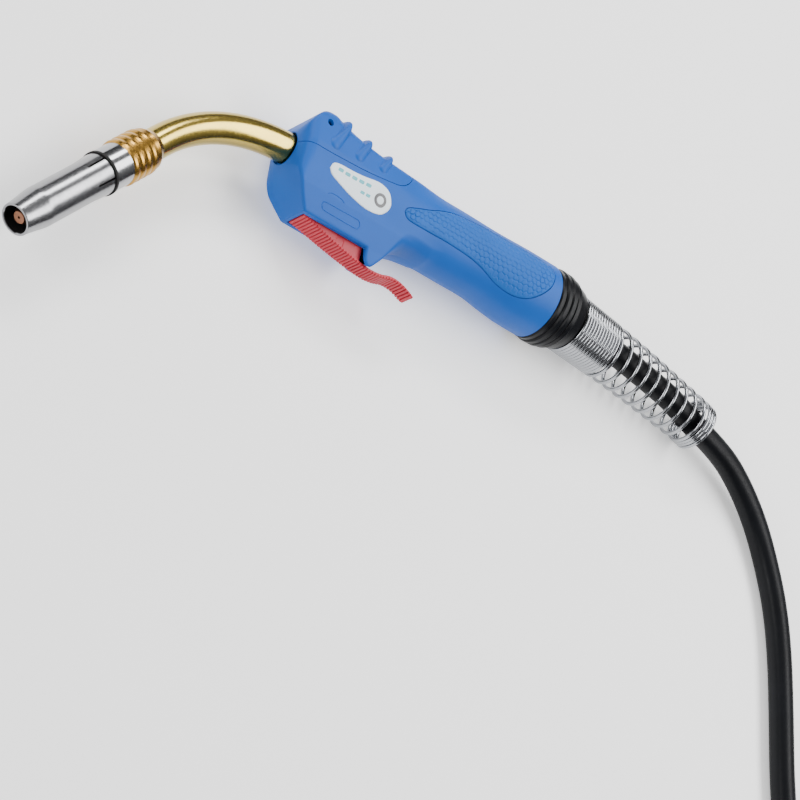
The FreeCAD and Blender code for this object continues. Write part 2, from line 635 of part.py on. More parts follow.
def cable_run(name, label, route):
    """The cable's tube along a route."""
    radius = amount_of("cable_d") / 2
    wire, radii = tangent_arc_wire(route)
    first = Vector(*route[0])
    direction = (Vector(*route[1]) - first).normalize()
    section = Part.Wire([Part.Circle(first, direction, radius).toShape()])
    tube = doc.addObject("Part::Feature", name)
    tube.Shape = wire.makePipeShell([section], True, False)
    ideal = math.pi * radius ** 2 * wire.Length
    print(f"{label}: length {wire.Length:.1f}, volume ratio {tube.Shape.Volume / ideal:.4f}, "
          f"smallest radius {min(radii):.0f}", [round(radius) for radius in radii])
    keep(tube, label, Placement(), bench_nodes)
    return wire.Length


def make_cable():
    length = cable_run("run_to_coil", "cable_run", ROUTE_TO_COIL)
    half_band = "coil_columns * cable_d / 2"
    coil = turned("coil", [
        (0, f"coil_mid_r - {half_band}"), (0, f"coil_mid_r + {half_band}"),
        ("coil_layers * cable_d", f"coil_mid_r + {half_band}"),
        ("coil_layers * cable_d", f"coil_mid_r - {half_band}")])
    upright = Rotation(Vector(1, 0, 0), Vector(0, 0, 1))
    keep(coil, "cable_coil", Placement(Vector(COIL_CENTRE[0], COIL_CENTRE[1], 0), upright), bench_nodes)
    length += cable_run("run_from_coil", "cable_tail", ROUTE_FROM_COIL)
    return length


def make_connector():
    """The central connector: its own frame has X towards the machine, starting where the cable enters."""
    last = Vector(*ROUTE_FROM_COIL[-1])
    heading = Vector(*ROUTE_FROM_COIL[-1]) - Vector(*ROUTE_FROM_COIL[-2])
    place = Placement(last, Rotation(Vector(1, 0, 0), Vector(heading.x, heading.y, 0)))

    boot = [(0, 0), (0, "cable_d / 2 + 1.5")]
    for index in range(7):
        start = 3.0 + 6.0 * index
        radius = f"cable_d / 2 + {1.6 + 0.55 * index:.2f}"
        boot += [(start, radius), (start + 3.6, radius + " + 0.3"), (start + 3.7, radius + " - 1.2"),
                 (start + 5.9, radius + " - 1.2")]
    boot += [(46, "connector_r - 5"), (56, "connector_r - 5"), (56, 0)]
    keep(turned("boot", boot), "connector_boot", place, bench_nodes)

    shell_outline = [(56, 0), (56, "connector_r - 3"), (60, "connector_r - 1"), (92, "connector_r"),
                     (98, "connector_r"), (98, "plug_r - 1"), (62, "plug_r - 1"), (62, 0)]
    whole = turned("connector_shell", shell_outline)
    for side, sign in (("upper", 1), ("lower", -1)):
        half = block(f"shell_zone_{side}", (40, -40, min(0, sign * 40)), (110, 40, max(0, sign * 40)))
        keep(common(f"shell_{side}", [whole, half]), f"connector_shell_{side}", place, bench_nodes)

    plug = turned("plug", [
        (62, 0), (62, "plug_r - 1"), (98, "plug_r - 1"), (98, "plug_r"), (131, "plug_r"), (132, "plug_r - 1"),
        (132, "plug_pin_r"), ("131 + plug_pin_length", "plug_pin_r"), ("132 + plug_pin_length", "plug_pin_r - 1"),
        ("132 + plug_pin_length", 0)])
    pin_holes = [rod(f"pin_hole_{index}", 2.0, 6, Vector(126.1, side, -6.5), Vector(1, 0, 0))
                 for index, side in enumerate((-6.5, 6.5))]
    keep(cut("plug_drilled", plug, fused("pin_holes", pin_holes)), "connector_plug", place, bench_nodes)

    nipple = turned("nipple", [
        ("132 + plug_pin_length", 0), ("132 + plug_pin_length", 3.2), ("134 + plug_pin_length", 3.2),
        ("134 + plug_pin_length", 2.4), ("136 + plug_pin_length", 2.4), ("136 + plug_pin_length", 3.2),
        ("139 + plug_pin_length", 2.6), ("139 + plug_pin_length", 0)])
    keep(nipple, "gas_nipple", place, bench_nodes)
    ring = doc.addObject("Part::Torus", "nipple_ring")
    ring.Radius1 = 3.1
    ring.Radius2 = 0.7
    along = amount_of("135 + plug_pin_length")
    keep(ring, "nipple_o_ring", place.multiply(Placement(Vector(along, 0, 0), TO_X)), bench_nodes)

    pins = [rod(f"control_pin_{index}", 2.0, 16, Vector(126.1, side, -6.5), Vector(1, 0, 0))
            for index, side in enumerate((-6.5, 6.5))]
    keep(fused("control_pins", pins), "control_pins", place, bench_nodes)

    nut = turned("hand_nut", [
        (99, "plug_r + running_gap"), (99, "nut_r - 1.5"), (100.5, "nut_r"), (138, "nut_r"), (139.5, "nut_r - 1.2"),
        (139.5, "plug_r + 3.4"), (106, "plug_r + 3.4"), (106, "plug_r + running_gap")])
    flute = sketch_on(nut, "YZ_Plane", "flute_outline")
    flute.addGeometry(Part.Circle(Vector(amount_of("nut_r") + 1.6, 0, 0), Vector(0, 0, 1), 2.8), False)
    doc.recompute()
    flutes = nut.newObject("PartDesign::Pocket", "flute")
    flutes.Profile = flute
    flutes.SideType = "Symmetric"
    flutes.Length = 300
    around = nut.newObject("PartDesign::PolarPattern", "flutes")
    around.Originals = [flutes]
    around.Axis = (flute, ["N_Axis"])
    around.Angle = 360
    around.Occurrences = 16
    nut.Tip = around
    keep(nut, "connector_hand_nut", place, bench_nodes)


# ---------------------------------------------------------------- build, check and write

def check_everything():
    """Stop if any object failed or any finished shape isn't sound."""
    for thing in doc.Objects:
        if "Invalid" in thing.State or "Error" in thing.State:
            raise RuntimeError(f"{thing.Name} failed: {thing.State}")
    for thing, place in torch_nodes + bench_nodes:
        if thing.Shape.isNull() or not thing.Shape.isValid() or thing.Shape.Volume <= 0:
            raise RuntimeError(f"{thing.Label} isn't a sound solid")


def main():
    make_front_end()
    make_neck()
    make_handle()
    make_labels()
    make_trigger()
    make_switch()
    make_rear()
    make_cable()
    make_connector()
    doc.recompute()
    for thing, place in torch_nodes:
        thing.Placement = TORCH.multiply(place).multiply(thing.Placement)
    for thing, place in bench_nodes:
        thing.Placement = place.multiply(thing.Placement)
    doc.recompute()
    check_everything()
    os.makedirs("parts", exist_ok=True)
    torch_box = FreeCAD.BoundBox()
    for thing, place in torch_nodes + bench_nodes:
        thing.Shape.exportStep(f"parts/{thing.Label}.step")
        solids = len(thing.Shape.Solids)
        print(f"{thing.Label}: {solids} solid, {thing.Shape.Volume:.0f} mm3")
    for thing, place in torch_nodes:
        torch_box.add(thing.Shape.optimalBoundingBox(False))
    print("torch box", torch_box)


main()
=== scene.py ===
import math

import bmesh
import bpy
import numpy as np
from mathutils import Matrix, Vector


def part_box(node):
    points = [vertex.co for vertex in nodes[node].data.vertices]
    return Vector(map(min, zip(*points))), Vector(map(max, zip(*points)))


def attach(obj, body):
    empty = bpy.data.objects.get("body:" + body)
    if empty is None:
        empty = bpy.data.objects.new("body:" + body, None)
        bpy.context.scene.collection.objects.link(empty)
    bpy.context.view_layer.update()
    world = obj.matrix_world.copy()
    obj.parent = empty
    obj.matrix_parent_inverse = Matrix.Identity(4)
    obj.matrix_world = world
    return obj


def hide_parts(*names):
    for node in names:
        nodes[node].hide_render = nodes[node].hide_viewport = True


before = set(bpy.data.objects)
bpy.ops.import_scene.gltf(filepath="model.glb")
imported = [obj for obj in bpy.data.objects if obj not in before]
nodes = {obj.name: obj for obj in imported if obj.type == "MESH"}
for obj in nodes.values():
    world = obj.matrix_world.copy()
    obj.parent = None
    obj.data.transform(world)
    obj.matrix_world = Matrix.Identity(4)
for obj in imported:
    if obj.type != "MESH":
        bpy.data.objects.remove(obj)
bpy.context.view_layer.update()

MM = 0.001

# The torch frame, in millimetres: X rearwards from the handle's rear rim, Y away from the near side,
# Z away from the trigger.  The torch lies on its side, so its Y points down in the bench frame.
_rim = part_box("rear_collar")[0].x
_pin_low, _pin_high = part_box("trigger_pivot_pin")
_pin = (_pin_low + _pin_high) / 2
PIN_BELOW_AXIS = 26.5
ORIGIN = Vector((_rim, _pin.y + PIN_BELOW_AXIS * MM, _pin.z))


def bench(points):
    """Points of the torch frame, in millimetres, as metres in the bench frame."""
    p = np.asarray(points, float)
    return np.stack([ORIGIN.x + p[..., 0] * MM, ORIGIN.y + p[..., 2] * MM, ORIGIN.z - p[..., 1] * MM], -1)


# ---------------------------------------------------------------- camera, light and floor

# Where the camera stands, in the torch frame, and its right and up directions in the bench frame.
CAMERA_PLACE = (-779.4, -900.9, -693.4)
CAMERA_RIGHT = Vector((0.7343, 0.1346, 0.6654))
CAMERA_UP = Vector((-0.4037, 0.8746, 0.2686))
CAMERA_LENS = 126
SENSOR_WIDTH = 36

LIGHT_TARGET = Vector((0.0, 0.0, 0.02))
# Each light: name, place, size and power.
LIGHTS = [("band", (0.80, 0.10, 1.25), (1.9, 0.62), 34),
          ("key", (-0.45, 1.25, 1.0), (1.3, 0.35), 20),
          ("side", (-1.5, -0.5, 0.75), (1.2, 0.5), 15)]
SKY_LOW = (0.10, 0.10, 0.11, 1)
SKY_HIGH = (1, 1, 1, 1)
SKY_HIGH_FROM = 0.85
SKY_STRENGTH = 0.42
FLOOR_REACH = 6
FLOOR_DROP = 0.0002
FLOOR_COLOUR = (0.93, 0.93, 0.93, 1)
FLOOR_GLOW = 0.5


def make_camera():
    data = bpy.data.cameras.new("camera")
    data.sensor_width = SENSOR_WIDTH
    data.lens = CAMERA_LENS
    data.clip_start = 0.05
    data.clip_end = 20
    camera = bpy.data.objects.new("camera", data)
    bpy.context.scene.collection.objects.link(camera)
    back = CAMERA_RIGHT.cross(CAMERA_UP).normalized()
    up = back.cross(CAMERA_RIGHT).normalized()
    turn = Matrix((CAMERA_RIGHT.normalized(), up, back)).transposed()
    place = Vector(bench(CAMERA_PLACE))
    camera.matrix_world = Matrix.Translation(place) @ turn.to_4x4()
    bpy.context.scene.camera = camera


def make_lights():
    for name, place, size, power in LIGHTS:
        data = bpy.data.lights.new(name, "AREA")
        data.shape = "RECTANGLE"
        data.size, data.size_y = size
        data.energy = power
        light = bpy.data.objects.new(name, data)
        light.location = place
        light.rotation_mode = "QUATERNION"
        light.rotation_quaternion = (LIGHT_TARGET - Vector(place)).to_track_quat("-Z", "Y")
        bpy.context.scene.collection.objects.link(light)


def make_sky():
    """A soft grey sky, darker towards the horizon, for the metals to reflect."""
    world = bpy.data.worlds.new("studio")
    bpy.context.scene.world = world
    world.use_nodes = True
    tree = world.node_tree
    tree.nodes.clear()
    coords = tree.nodes.new("ShaderNodeTexCoord")
    split = tree.nodes.new("ShaderNodeSeparateXYZ")
    ramp = tree.nodes.new("ShaderNodeValToRGB")
    low, high = ramp.color_ramp.elements
    low.position = 0.0
    low.color = SKY_LOW
    high.position = SKY_HIGH_FROM
    high.color = SKY_HIGH
    shade = tree.nodes.new("ShaderNodeBackground")
    shade.inputs["Strength"].default_value = SKY_STRENGTH
    out = tree.nodes.new("ShaderNodeOutputWorld")
    tree.links.new(coords.outputs["Generated"], split.inputs[0])
    tree.links.new(split.outputs["Z"], ramp.inputs[0])
    tree.links.new(ramp.outputs[0], shade.inputs["Color"])
    tree.links.new(shade.outputs[0], out.inputs[0])


def make_floor():
    mesh = bpy.data.meshes.new("floor")
    corners = [(-FLOOR_REACH, -FLOOR_REACH, 0), (FLOOR_REACH, -FLOOR_REACH, 0),
               (FLOOR_REACH, FLOOR_REACH, 0), (-FLOOR_REACH, FLOOR_REACH, 0)]
    mesh.from_pydata(corners, [], [(0, 1, 2, 3)])
    floor = bpy.data.objects.new("floor", mesh)
    floor.location.z = -FLOOR_DROP
    bpy.context.scene.collection.objects.link(floor)
    paint = bpy.data.materials.new("floor")
    paint.use_nodes = True
    shader = paint.node_tree.nodes["Principled BSDF"]
    shader.inputs["Base Color"].default_value = FLOOR_COLOUR
    shader.inputs["Roughness"].default_value = 0.7
    shader.inputs["Emission Color"].default_value = (1, 1, 1, 1)
    shader.inputs["Emission Strength"].default_value = FLOOR_GLOW
    mesh.materials.append(paint)


# ---------------------------------------------------------------- meshes

def new_object(name, mesh, body="torch", material=None, smooth=True):
    """An object of a mesh, riding on a body, with its material."""
    thing = bpy.data.objects.new(name, mesh)
    bpy.context.scene.collection.objects.link(thing)
    if material:
        mesh.materials.clear()
        mesh.materials.append(material)
    if smooth:
        mesh.shade_smooth()
    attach(thing, body)
    return thing


def grid_mesh(name, points, closed_u, closed_v, caps=False):
    """A mesh from a grid of points (rows, columns, 3), in metres."""
    rows, columns = points.shape[:2]
    mesh = bpy.data.meshes.new(name)
    u = np.arange(rows if closed_u else rows - 1)
    v = np.arange(columns if closed_v else columns - 1)
    a, b = np.meshgrid(u, v, indexing="ij")
    a2, b2 = (a + 1) % rows, (b + 1) % columns
    quads = np.stack([a * columns + b, a2 * columns + b, a2 * columns + b2, a * columns + b2], -1).reshape(-1, 4)
    faces = [tuple(q) for q in quads.tolist()]
    if caps:
        faces.append(tuple(range(columns)))
        faces.append(tuple(range((rows - 1) * columns, rows * columns))[::-1])
    mesh.from_pydata(points.reshape(-1, 3).tolist(), [], faces)
    mesh.validate()
    tidy_normals(mesh)
    return mesh


def tidy_normals(mesh):
    """Turn all the faces of a closed mesh outwards."""
    work = bmesh.new()
    work.from_mesh(mesh)
    bmesh.ops.recalc_face_normals(work, faces=work.faces)
    work.to_mesh(mesh)
    work.free()
    mesh.update()


def prism_mesh(name, outline, low, high):
    """A closed prism of an (x, z) outline between two y values, all in the torch frame's millimetres."""
    outline = np.asarray(outline, float)
    count = len(outline)
    rings = [np.column_stack([outline[:, 0], np.full(count, y), outline[:, 1]]) for y in (low, high)]
    return grid_mesh(name, bench(np.stack(rings)), False, True, caps=True)


def carved(thing, cutters, operation="DIFFERENCE"):
    """Apply boolean cutters to an object's mesh and remove them."""
    for cutter in cutters:
        change = thing.modifiers.new("carve", "BOOLEAN")
        change.operation = operation
        change.solver = "MANIFOLD"
        change.object = cutter
    depsgraph = bpy.context.evaluated_depsgraph_get()
    mesh = bpy.data.meshes.new_from_object(thing.evaluated_get(depsgraph))
    thing.modifiers.clear()
    thing.data = mesh
    for cutter in cutters:
        bpy.data.objects.remove(cutter)


def finish_carved(thing, colour, sharp_angle, body, node):
    """Give a carved piece its material, smooth faces with sharp edges, its body and the node it stands for."""
    mesh = thing.data
    mesh.materials.clear()
    mesh.materials.append(M[colour])
    for face in mesh.polygons:
        face.use_smooth = True
        face.material_index = 0
    mesh.set_sharp_from_angle(angle=math.radians(sharp_angle))
    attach(thing, body)
    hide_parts(node)


def loose(name, mesh):
    """An object of a mesh that rides on nothing yet, such as a cutter."""
    thing = bpy.data.objects.new(name, mesh)
    bpy.context.scene.collection.objects.link(thing)
    return thing


def tube_points(path, radius, sides=14):
    """Rings of a tube round a path of points (millimetres), without twist."""
    path = np.asarray(path, float)
    ahead = directions_of(path)
    side = np.cross(ahead[0], (0.3, 1, 0.2))
    rings = []
    turn = np.linspace(0, 2 * math.pi, sides, endpoint=False)
    for centre, along in zip(path, ahead):
        side = side - along * side.dot(along)
        side /= np.linalg.norm(side)
        other = np.cross(along, side)
        rings.append(centre + radius * (np.cos(turn)[:, None] * side + np.sin(turn)[:, None] * other))
    return np.stack(rings)


def rod(name, start, end, radius, sides):
    """A round cutter between two points of the torch frame."""
    return loose(name, grid_mesh(name, bench(tube_points([start, end], radius, sides)), False, True, caps=True))


def directions_of(line):
    """Unit directions along a line of points."""
    ahead = np.gradient(line, axis=0)
    return ahead / np.linalg.norm(ahead, axis=1)[:, None]


def distance_along(line):
    """How far along a line each of its points is."""
    return np.concatenate([[0], np.cumsum(np.linalg.norm(np.diff(line, axis=0), axis=1))])


# ---------------------------------------------------------------- the handle's form, as a distance field

def smooth_curve(points, steps=6):
    """Points along a smooth curve through the given points."""
    p = np.array(points, float)
    p = np.vstack([2 * p[0] - p[1], p, 2 * p[-1] - p[-2]])
    t = np.linspace(0, 1, steps, endpoint=False)[:, None]
    out = []
    for a, b, c, d in zip(p, p[1:], p[2:], p[3:]):
        bend = (2 * a - 5 * b + 4 * c - d) * t ** 2 + (3 * b - a - 3 * c + d) * t ** 3
        out.append(0.5 * (2 * b + (c - a) * t + bend))
    return np.vstack(out + [p[-2:-1]])


def distance_to_outline(h, v, corners):
    """Signed distance to a closed outline, negative inside."""
    best = np.full(h.shape, 1e9)
    inside = np.zeros(h.shape, bool)
    for (h0, v0), (h1, v1) in zip(corners, np.roll(corners, -1, axis=0)):
        eh, ev = h1 - h0, v1 - v0
        length = max(eh * eh + ev * ev, 1e-12)
        t = np.clip(((h - h0) * eh + (v - v0) * ev) / length, 0, 1)
        best = np.minimum(best, (h - h0 - t * eh) ** 2 + (v - v0 - t * ev) ** 2)
        if ev != 0:
            inside ^= ((v0 > v) != (v1 > v)) & (h < h0 + (v - v0) * eh / ev)
    return np.where(inside, -1, 1) * np.sqrt(best)


class OutlineField:
    """The distance to an outline, worked out once on a fine table and read from it."""

    STEP = 0.3

    def __init__(self, corners, low, high):
        self.low = np.array(low, float)
        self.size = np.ceil((np.array(high) - self.low) / self.STEP).astype(int) + 1
        h = self.low[0] + self.STEP * np.arange(self.size[0])
        v = self.low[1] + self.STEP * np.arange(self.size[1])
        self.table = distance_to_outline(*np.meshgrid(h, v, indexing="ij"), np.asarray(corners, float))

    def __call__(self, h, v):
        a = np.clip((h - self.low[0]) / self.STEP, 0, self.size[0] - 1.001)
        b = np.clip((v - self.low[1]) / self.STEP, 0, self.size[1] - 1.001)
        i, j = a.astype(int), b.astype(int)
        a, b = a - i, b - j
        t = self.table
        near = t[i, j] * (1 - b) + t[i, j + 1] * b
        far = t[i + 1, j] * (1 - b) + t[i + 1, j + 1] * b
        return near * (1 - a) + far * a


def soft_max(a, b, k):
    """The larger of two distances, rounded where they cross."""
    h = np.clip(0.5 + 0.5 * (a - b) / k, 0, 1)
    return b * (1 - h) + a * h + k * h * (1 - h)


def soft_min(a, b, k):
    """The smaller of two distances, rounded where they cross."""
    return -soft_max(-a, -b, k)


def ease(x, low, high):
    """A smooth step from 0 at low to 1 at high."""
    t = np.clip((x - low) / (high - low), 0, 1)
    return t * t * (3 - 2 * t)


def follow(x, stations, values):
    """A smooth curve through values at stations."""
    slope = np.gradient(values, stations)
    i = np.clip(np.searchsorted(stations, x) - 1, 0, len(stations) - 2)
    w = stations[i + 1] - stations[i]
    t = np.clip((x - stations[i]) / w, 0, 1)
    rise = (2 * t ** 3 - 3 * t ** 2 + 1) * values[i] + (3 * t ** 2 - 2 * t ** 3) * values[i + 1]
    return rise + w * ((t ** 3 - 2 * t ** 2 + t) * slope[i] + (t ** 3 - t ** 2) * slope[i + 1])


# The handle's head: its outline from the side (x, z), half its cross section (y, z) and half its plan (x, y).
HEAD_SIDE = np.vstack([
    smooth_curve([(-151.5, -31), (-157.3, -21.5), (-161.5, -11), (-162.9, 0), (-161.6, 8.5), (-156.5, 17.2),
                  (-151.0, 23.0), (-146.6, 25.4), (-143.2, 25.5), (-139, 23.6), (-128, 20.3), (-114, 17.8),
                  (-100, 16.7), (-84, 16.4), (-66, 12)]),
    [(-64, 0), (-66, -8)],
    smooth_curve([(-76, -17.0), (-86, -18.9), (-94, -22.6), (-99.5, -28.0), (-104, -34.0), (-107.5, -38.2),
                  (-110.3, -38.4), (-112.2, -36.0), (-113, -31)])])
HEAD_SECTION = [(-7, -60), (6.9, -60), (6.9, -39), (8.7, -31), (12.7, -19), (16.0, 3), (14.7, 21), (12.8, 32),
                (12, 60), (-7, 60)]
HEAD_PLAN = np.vstack([
    smooth_curve([(-163.4, 0), (-163.4, 1.5), (-163.2, 4), (-162.7, 7), (-161.4, 11), (-159.7, 13.6),
                  (-157.0, 15.5), (-153.5, 16.4), (-140, 16.6), (-114, 16.6), (-104, 15.8), (-95, 14.2),
                  (-84, 11.5), (-66, 6)]),
    [(-60, 0), (-60, -5), (-163.4, -5)]])
head_side = OutlineField(HEAD_SIDE, (-175, -50), (-45, 50))
head_section = OutlineField(HEAD_SECTION, (-8, -62), (45, 62))
head_plan = OutlineField(HEAD_PLAN, (-175, -1), (-45, 45))

# The grip is an oval at each station along X.
GRIP_X = np.array([-140, -122, -112, -98, -78, -58, -38, -16, 0.0, 8])
GRIP_HALF_WIDTH = np.array([9.0, 12.6, 14.6, 16.0, 16.7, 16.6, 17.2, 18.9, 19.5, 19.6])
GRIP_HALF_HEIGHT = np.array([10, 14.5, 16.2, 17.4, 18.6, 19.0, 18.6, 19.8, 19.6, 19.5])
GRIP_LIFT = np.array([1.5, 0.6, 0.1, -0.4, 0.1, 0.3, 0.2, -0.8, -0.9, -0.9])

# Each thumb ridge, seen from the side, from the back down to its wide lower end: x, z and half width, and how
# proud it stands at its top and at its lower end.
RIDGES = [
    [(-135.5, 45, 1.9), (-137.2, 24.0, 1.9), (-140.3, 16.0, 2.2), (-145.4, 6.0, 3.0)],
    [(-122.3, 45, 1.9), (-124.0, 21.5, 1.9), (-126.8, 14.5, 2.1), (-130.8, 6.8, 2.8)],
    [(-109.5, 45, 1.8), (-111.0, 19.5, 1.8), (-113.2, 13.5, 1.9), (-116.4, 7.8, 2.5)]]
RIDGE_PROUD = (2.1, 0.95)


def ridge_height(x, y, z):
    """How far the thumb ridges lift the handle's surface."""
    height = np.zeros(x.shape)
    proud = RIDGE_PROUD[1] + (RIDGE_PROUD[0] - RIDGE_PROUD[1]) * ease(z, 7, 18)
    for ridge in RIDGES:
        for (x0, z0, r0), (x1, z1, r1) in zip(ridge, ridge[1:]):
            dx, dz = x1 - x0, z1 - z0
            t = np.clip(((x - x0) * dx + (z - z0) * dz) / (dx * dx + dz * dz), 0, 1)
            gap = np.hypot(x - x0 - t * dx, z - z0 - t * dz) / (r0 + (r1 - r0) * t)
            height = np.maximum(height, proud * np.clip(1 - gap ** 2, 0, 1) ** 0.75)
    return height


def handle_field(x, y, z):
    """Roughly the distance to the handle's outside, in millimetres, negative inside."""
    y = np.abs(y)
    block = soft_max(head_section(y, z), head_plan(x, y), 2.0)
    rounding = 1.2 + 9.0 * ease(z, 4, 20) * ease(x, -157, -143) + 7.0 * ease(-z, 10, 17) * ease(x, -104, -92)
    block = soft_max(block, head_side(x, z), rounding)
    width = follow(x, GRIP_X, GRIP_HALF_WIDTH)
    height = follow(x, GRIP_X, GRIP_HALF_HEIGHT)
    oval = np.sqrt((y / width) ** 2 + ((z - follow(x, GRIP_X, GRIP_LIFT)) / height) ** 2) - 1
    grip = soft_max(oval * np.minimum(width, height), -145 - x, 2.0)
    form = soft_min(block, grip, 5.0)
    return form - ridge_height(x, y, z)


def reach_along(origin, direction, low, high, steps=26):
    """How far a ray goes from inside the handle to its outside."""
    near = np.full(origin.shape[:-1], float(low))
    far = np.full(origin.shape[:-1], float(high))
    for _ in range(steps):
        middle = (near + far) / 2
        p = origin + direction * middle[..., None]
        outside = handle_field(p[..., 0], p[..., 1], p[..., 2]) > 0
        far = np.where(outside, middle, far)
        near = np.where(outside, near, middle)
    return (near + far) / 2


def side_of_handle(x, z, side=-1):
    """The y of the handle's outside at (x, z), on one side."""
    origin = np.stack([x, np.zeros_like(x), z], -1)
    direction = np.zeros_like(origin)
    direction[..., 1] = side
    return side * reach_along(origin, direction, 0, 30)


def on_side(points, rise, side):
    """Outline points (x, z) laid on one side of the handle, raised by a height."""
    points = np.asarray(points, float)
    y = side_of_handle(points[:, 0], points[:, 1], side)
    return np.column_stack([points[:, 0], y + side * rise, points[:, 1]])


# The hole that the neck comes through, the wall, and where the rays to the front of the head start.
NECK_LIFT = 0.7
NECK_HOLE = 8.8
WALL = 2.6
HEAD_MIDDLE_X = -150.0
HEAD_MIDDLE_TO_FRONT = 13.2
SHELL_COLUMNS = 480


def handle_shell_mesh():
    """The whole handle as one closed shell with a hole for the neck: rays from its axis meet its outside."""
    columns = SHELL_COLUMNS
    turn = np.linspace(0, 2 * math.pi, columns, endpoint=False)
    across = np.stack([np.zeros(columns), np.cos(turn), np.sin(turn)], -1)
    middle = np.array([HEAD_MIDDLE_X, 0, NECK_LIFT])
    front_tilt = math.atan2(NECK_HOLE, HEAD_MIDDLE_TO_FRONT)
    rows = []
    for share in np.linspace(0, 1, 44):
        tilt = front_tilt + (math.pi / 2 - front_tilt) * share
        rows.append((np.broadcast_to(middle, (columns, 3)), across * math.sin(tilt) - [math.cos(tilt), 0, 0]))
    for x in np.concatenate([np.linspace(-149.6, -94, 136), np.linspace(-93.4, 0, 120)]):
        lift = follow(np.array([x]), GRIP_X, GRIP_LIFT)[0] if x > -100 else NECK_LIFT
        rows.append((np.broadcast_to(np.array([x, 0, lift]), (columns, 3)), across))
    origins = np.stack([row[0] for row in rows])
    directions = np.stack([row[1] for row in rows])
    reach = reach_along(origins, directions, 1, 62)
    outer = origins + directions * reach[..., None]
    # The first ring is the hole's own edge.
    outer[0, :, 1] = across[:, 1] * NECK_HOLE
    outer[0, :, 2] = NECK_LIFT + across[:, 2] * NECK_HOLE
    # The inside needs fewer rings; the last of them is just behind the hole.
    picked = list(range(len(rows) - 1, 0, -9)) + [6]
    inner = (origins + directions * np.maximum(reach - WALL, 1)[..., None])[picked]
    throat = inner[-1].copy()
    throat[:, 0] = outer[0, :, 0] + WALL
    throat[:, 1] = across[:, 1] * NECK_HOLE
    throat[:, 2] = NECK_LIFT + across[:, 2] * NECK_HOLE
    return grid_mesh("handle_shell", bench(np.concatenate([outer, inner, throat[None]])), True, True)


# ---------------------------------------------------------------- materials

CLOUD_SCALE = 45
BUMP_STEP = 0.00004


def material(name, colour, rough=0.5, metal=0.0, vary=0.12, grain=0.05, grain_scale=900, wear=0.06, specular=0.5):
    """A procedural material: soft colour variation, uneven gloss and a fine surface grain."""
    mat = bpy.data.materials.new(name)
    mat.use_nodes = True
    tree = mat.node_tree
    make, link = tree.nodes.new, tree.links.new
    shader = tree.nodes["Principled BSDF"]
    shader.inputs["Metallic"].default_value = metal
    shader.inputs["Specular IOR Level"].default_value = specular
    place = make("ShaderNodeTexCoord")
    cloud = make("ShaderNodeTexNoise")
    cloud.inputs["Scale"].default_value = CLOUD_SCALE
    cloud.inputs["Detail"].default_value = 4
    link(place.outputs["Object"], cloud.inputs["Vector"])
    fine = make("ShaderNodeTexNoise")
    fine.inputs["Scale"].default_value = grain_scale
    fine.inputs["Detail"].default_value = 3
    link(place.outputs["Object"], fine.inputs["Vector"])
    paint = make("ShaderNodeValToRGB")
    dark = [c * (1 - vary) for c in colour]
    light = [min(c * (1 + vary * 0.8), 1) for c in colour]
    paint.color_ramp.elements[0].position = 0.3
    paint.color_ramp.elements[1].position = 0.7
    paint.color_ramp.elements[0].color = (*dark, 1)
    paint.color_ramp.elements[1].color = (*light, 1)
    link(cloud.outputs["Fac"], paint.inputs[0])
    link(paint.outputs[0], shader.inputs["Base Color"])
    gloss = make("ShaderNodeMapRange")
    gloss.inputs["From Min"].default_value = 0.3
    gloss.inputs["From Max"].default_value = 0.7
    gloss.inputs["To Min"].default_value = max(rough - wear, 0.03)
    gloss.inputs["To Max"].default_value = rough + wear
    link(fine.outputs["Fac"], gloss.inputs["Value"])
    link(gloss.outputs[0], shader.inputs["Roughness"])
    bump = make("ShaderNodeBump")
    bump.inputs["Strength"].default_value = grain
    bump.inputs["Distance"].default_value = BUMP_STEP
    link(fine.outputs["Fac"], bump.inputs["Height"])
    link(bump.outputs[0], shader.inputs["Normal"])
    return mat


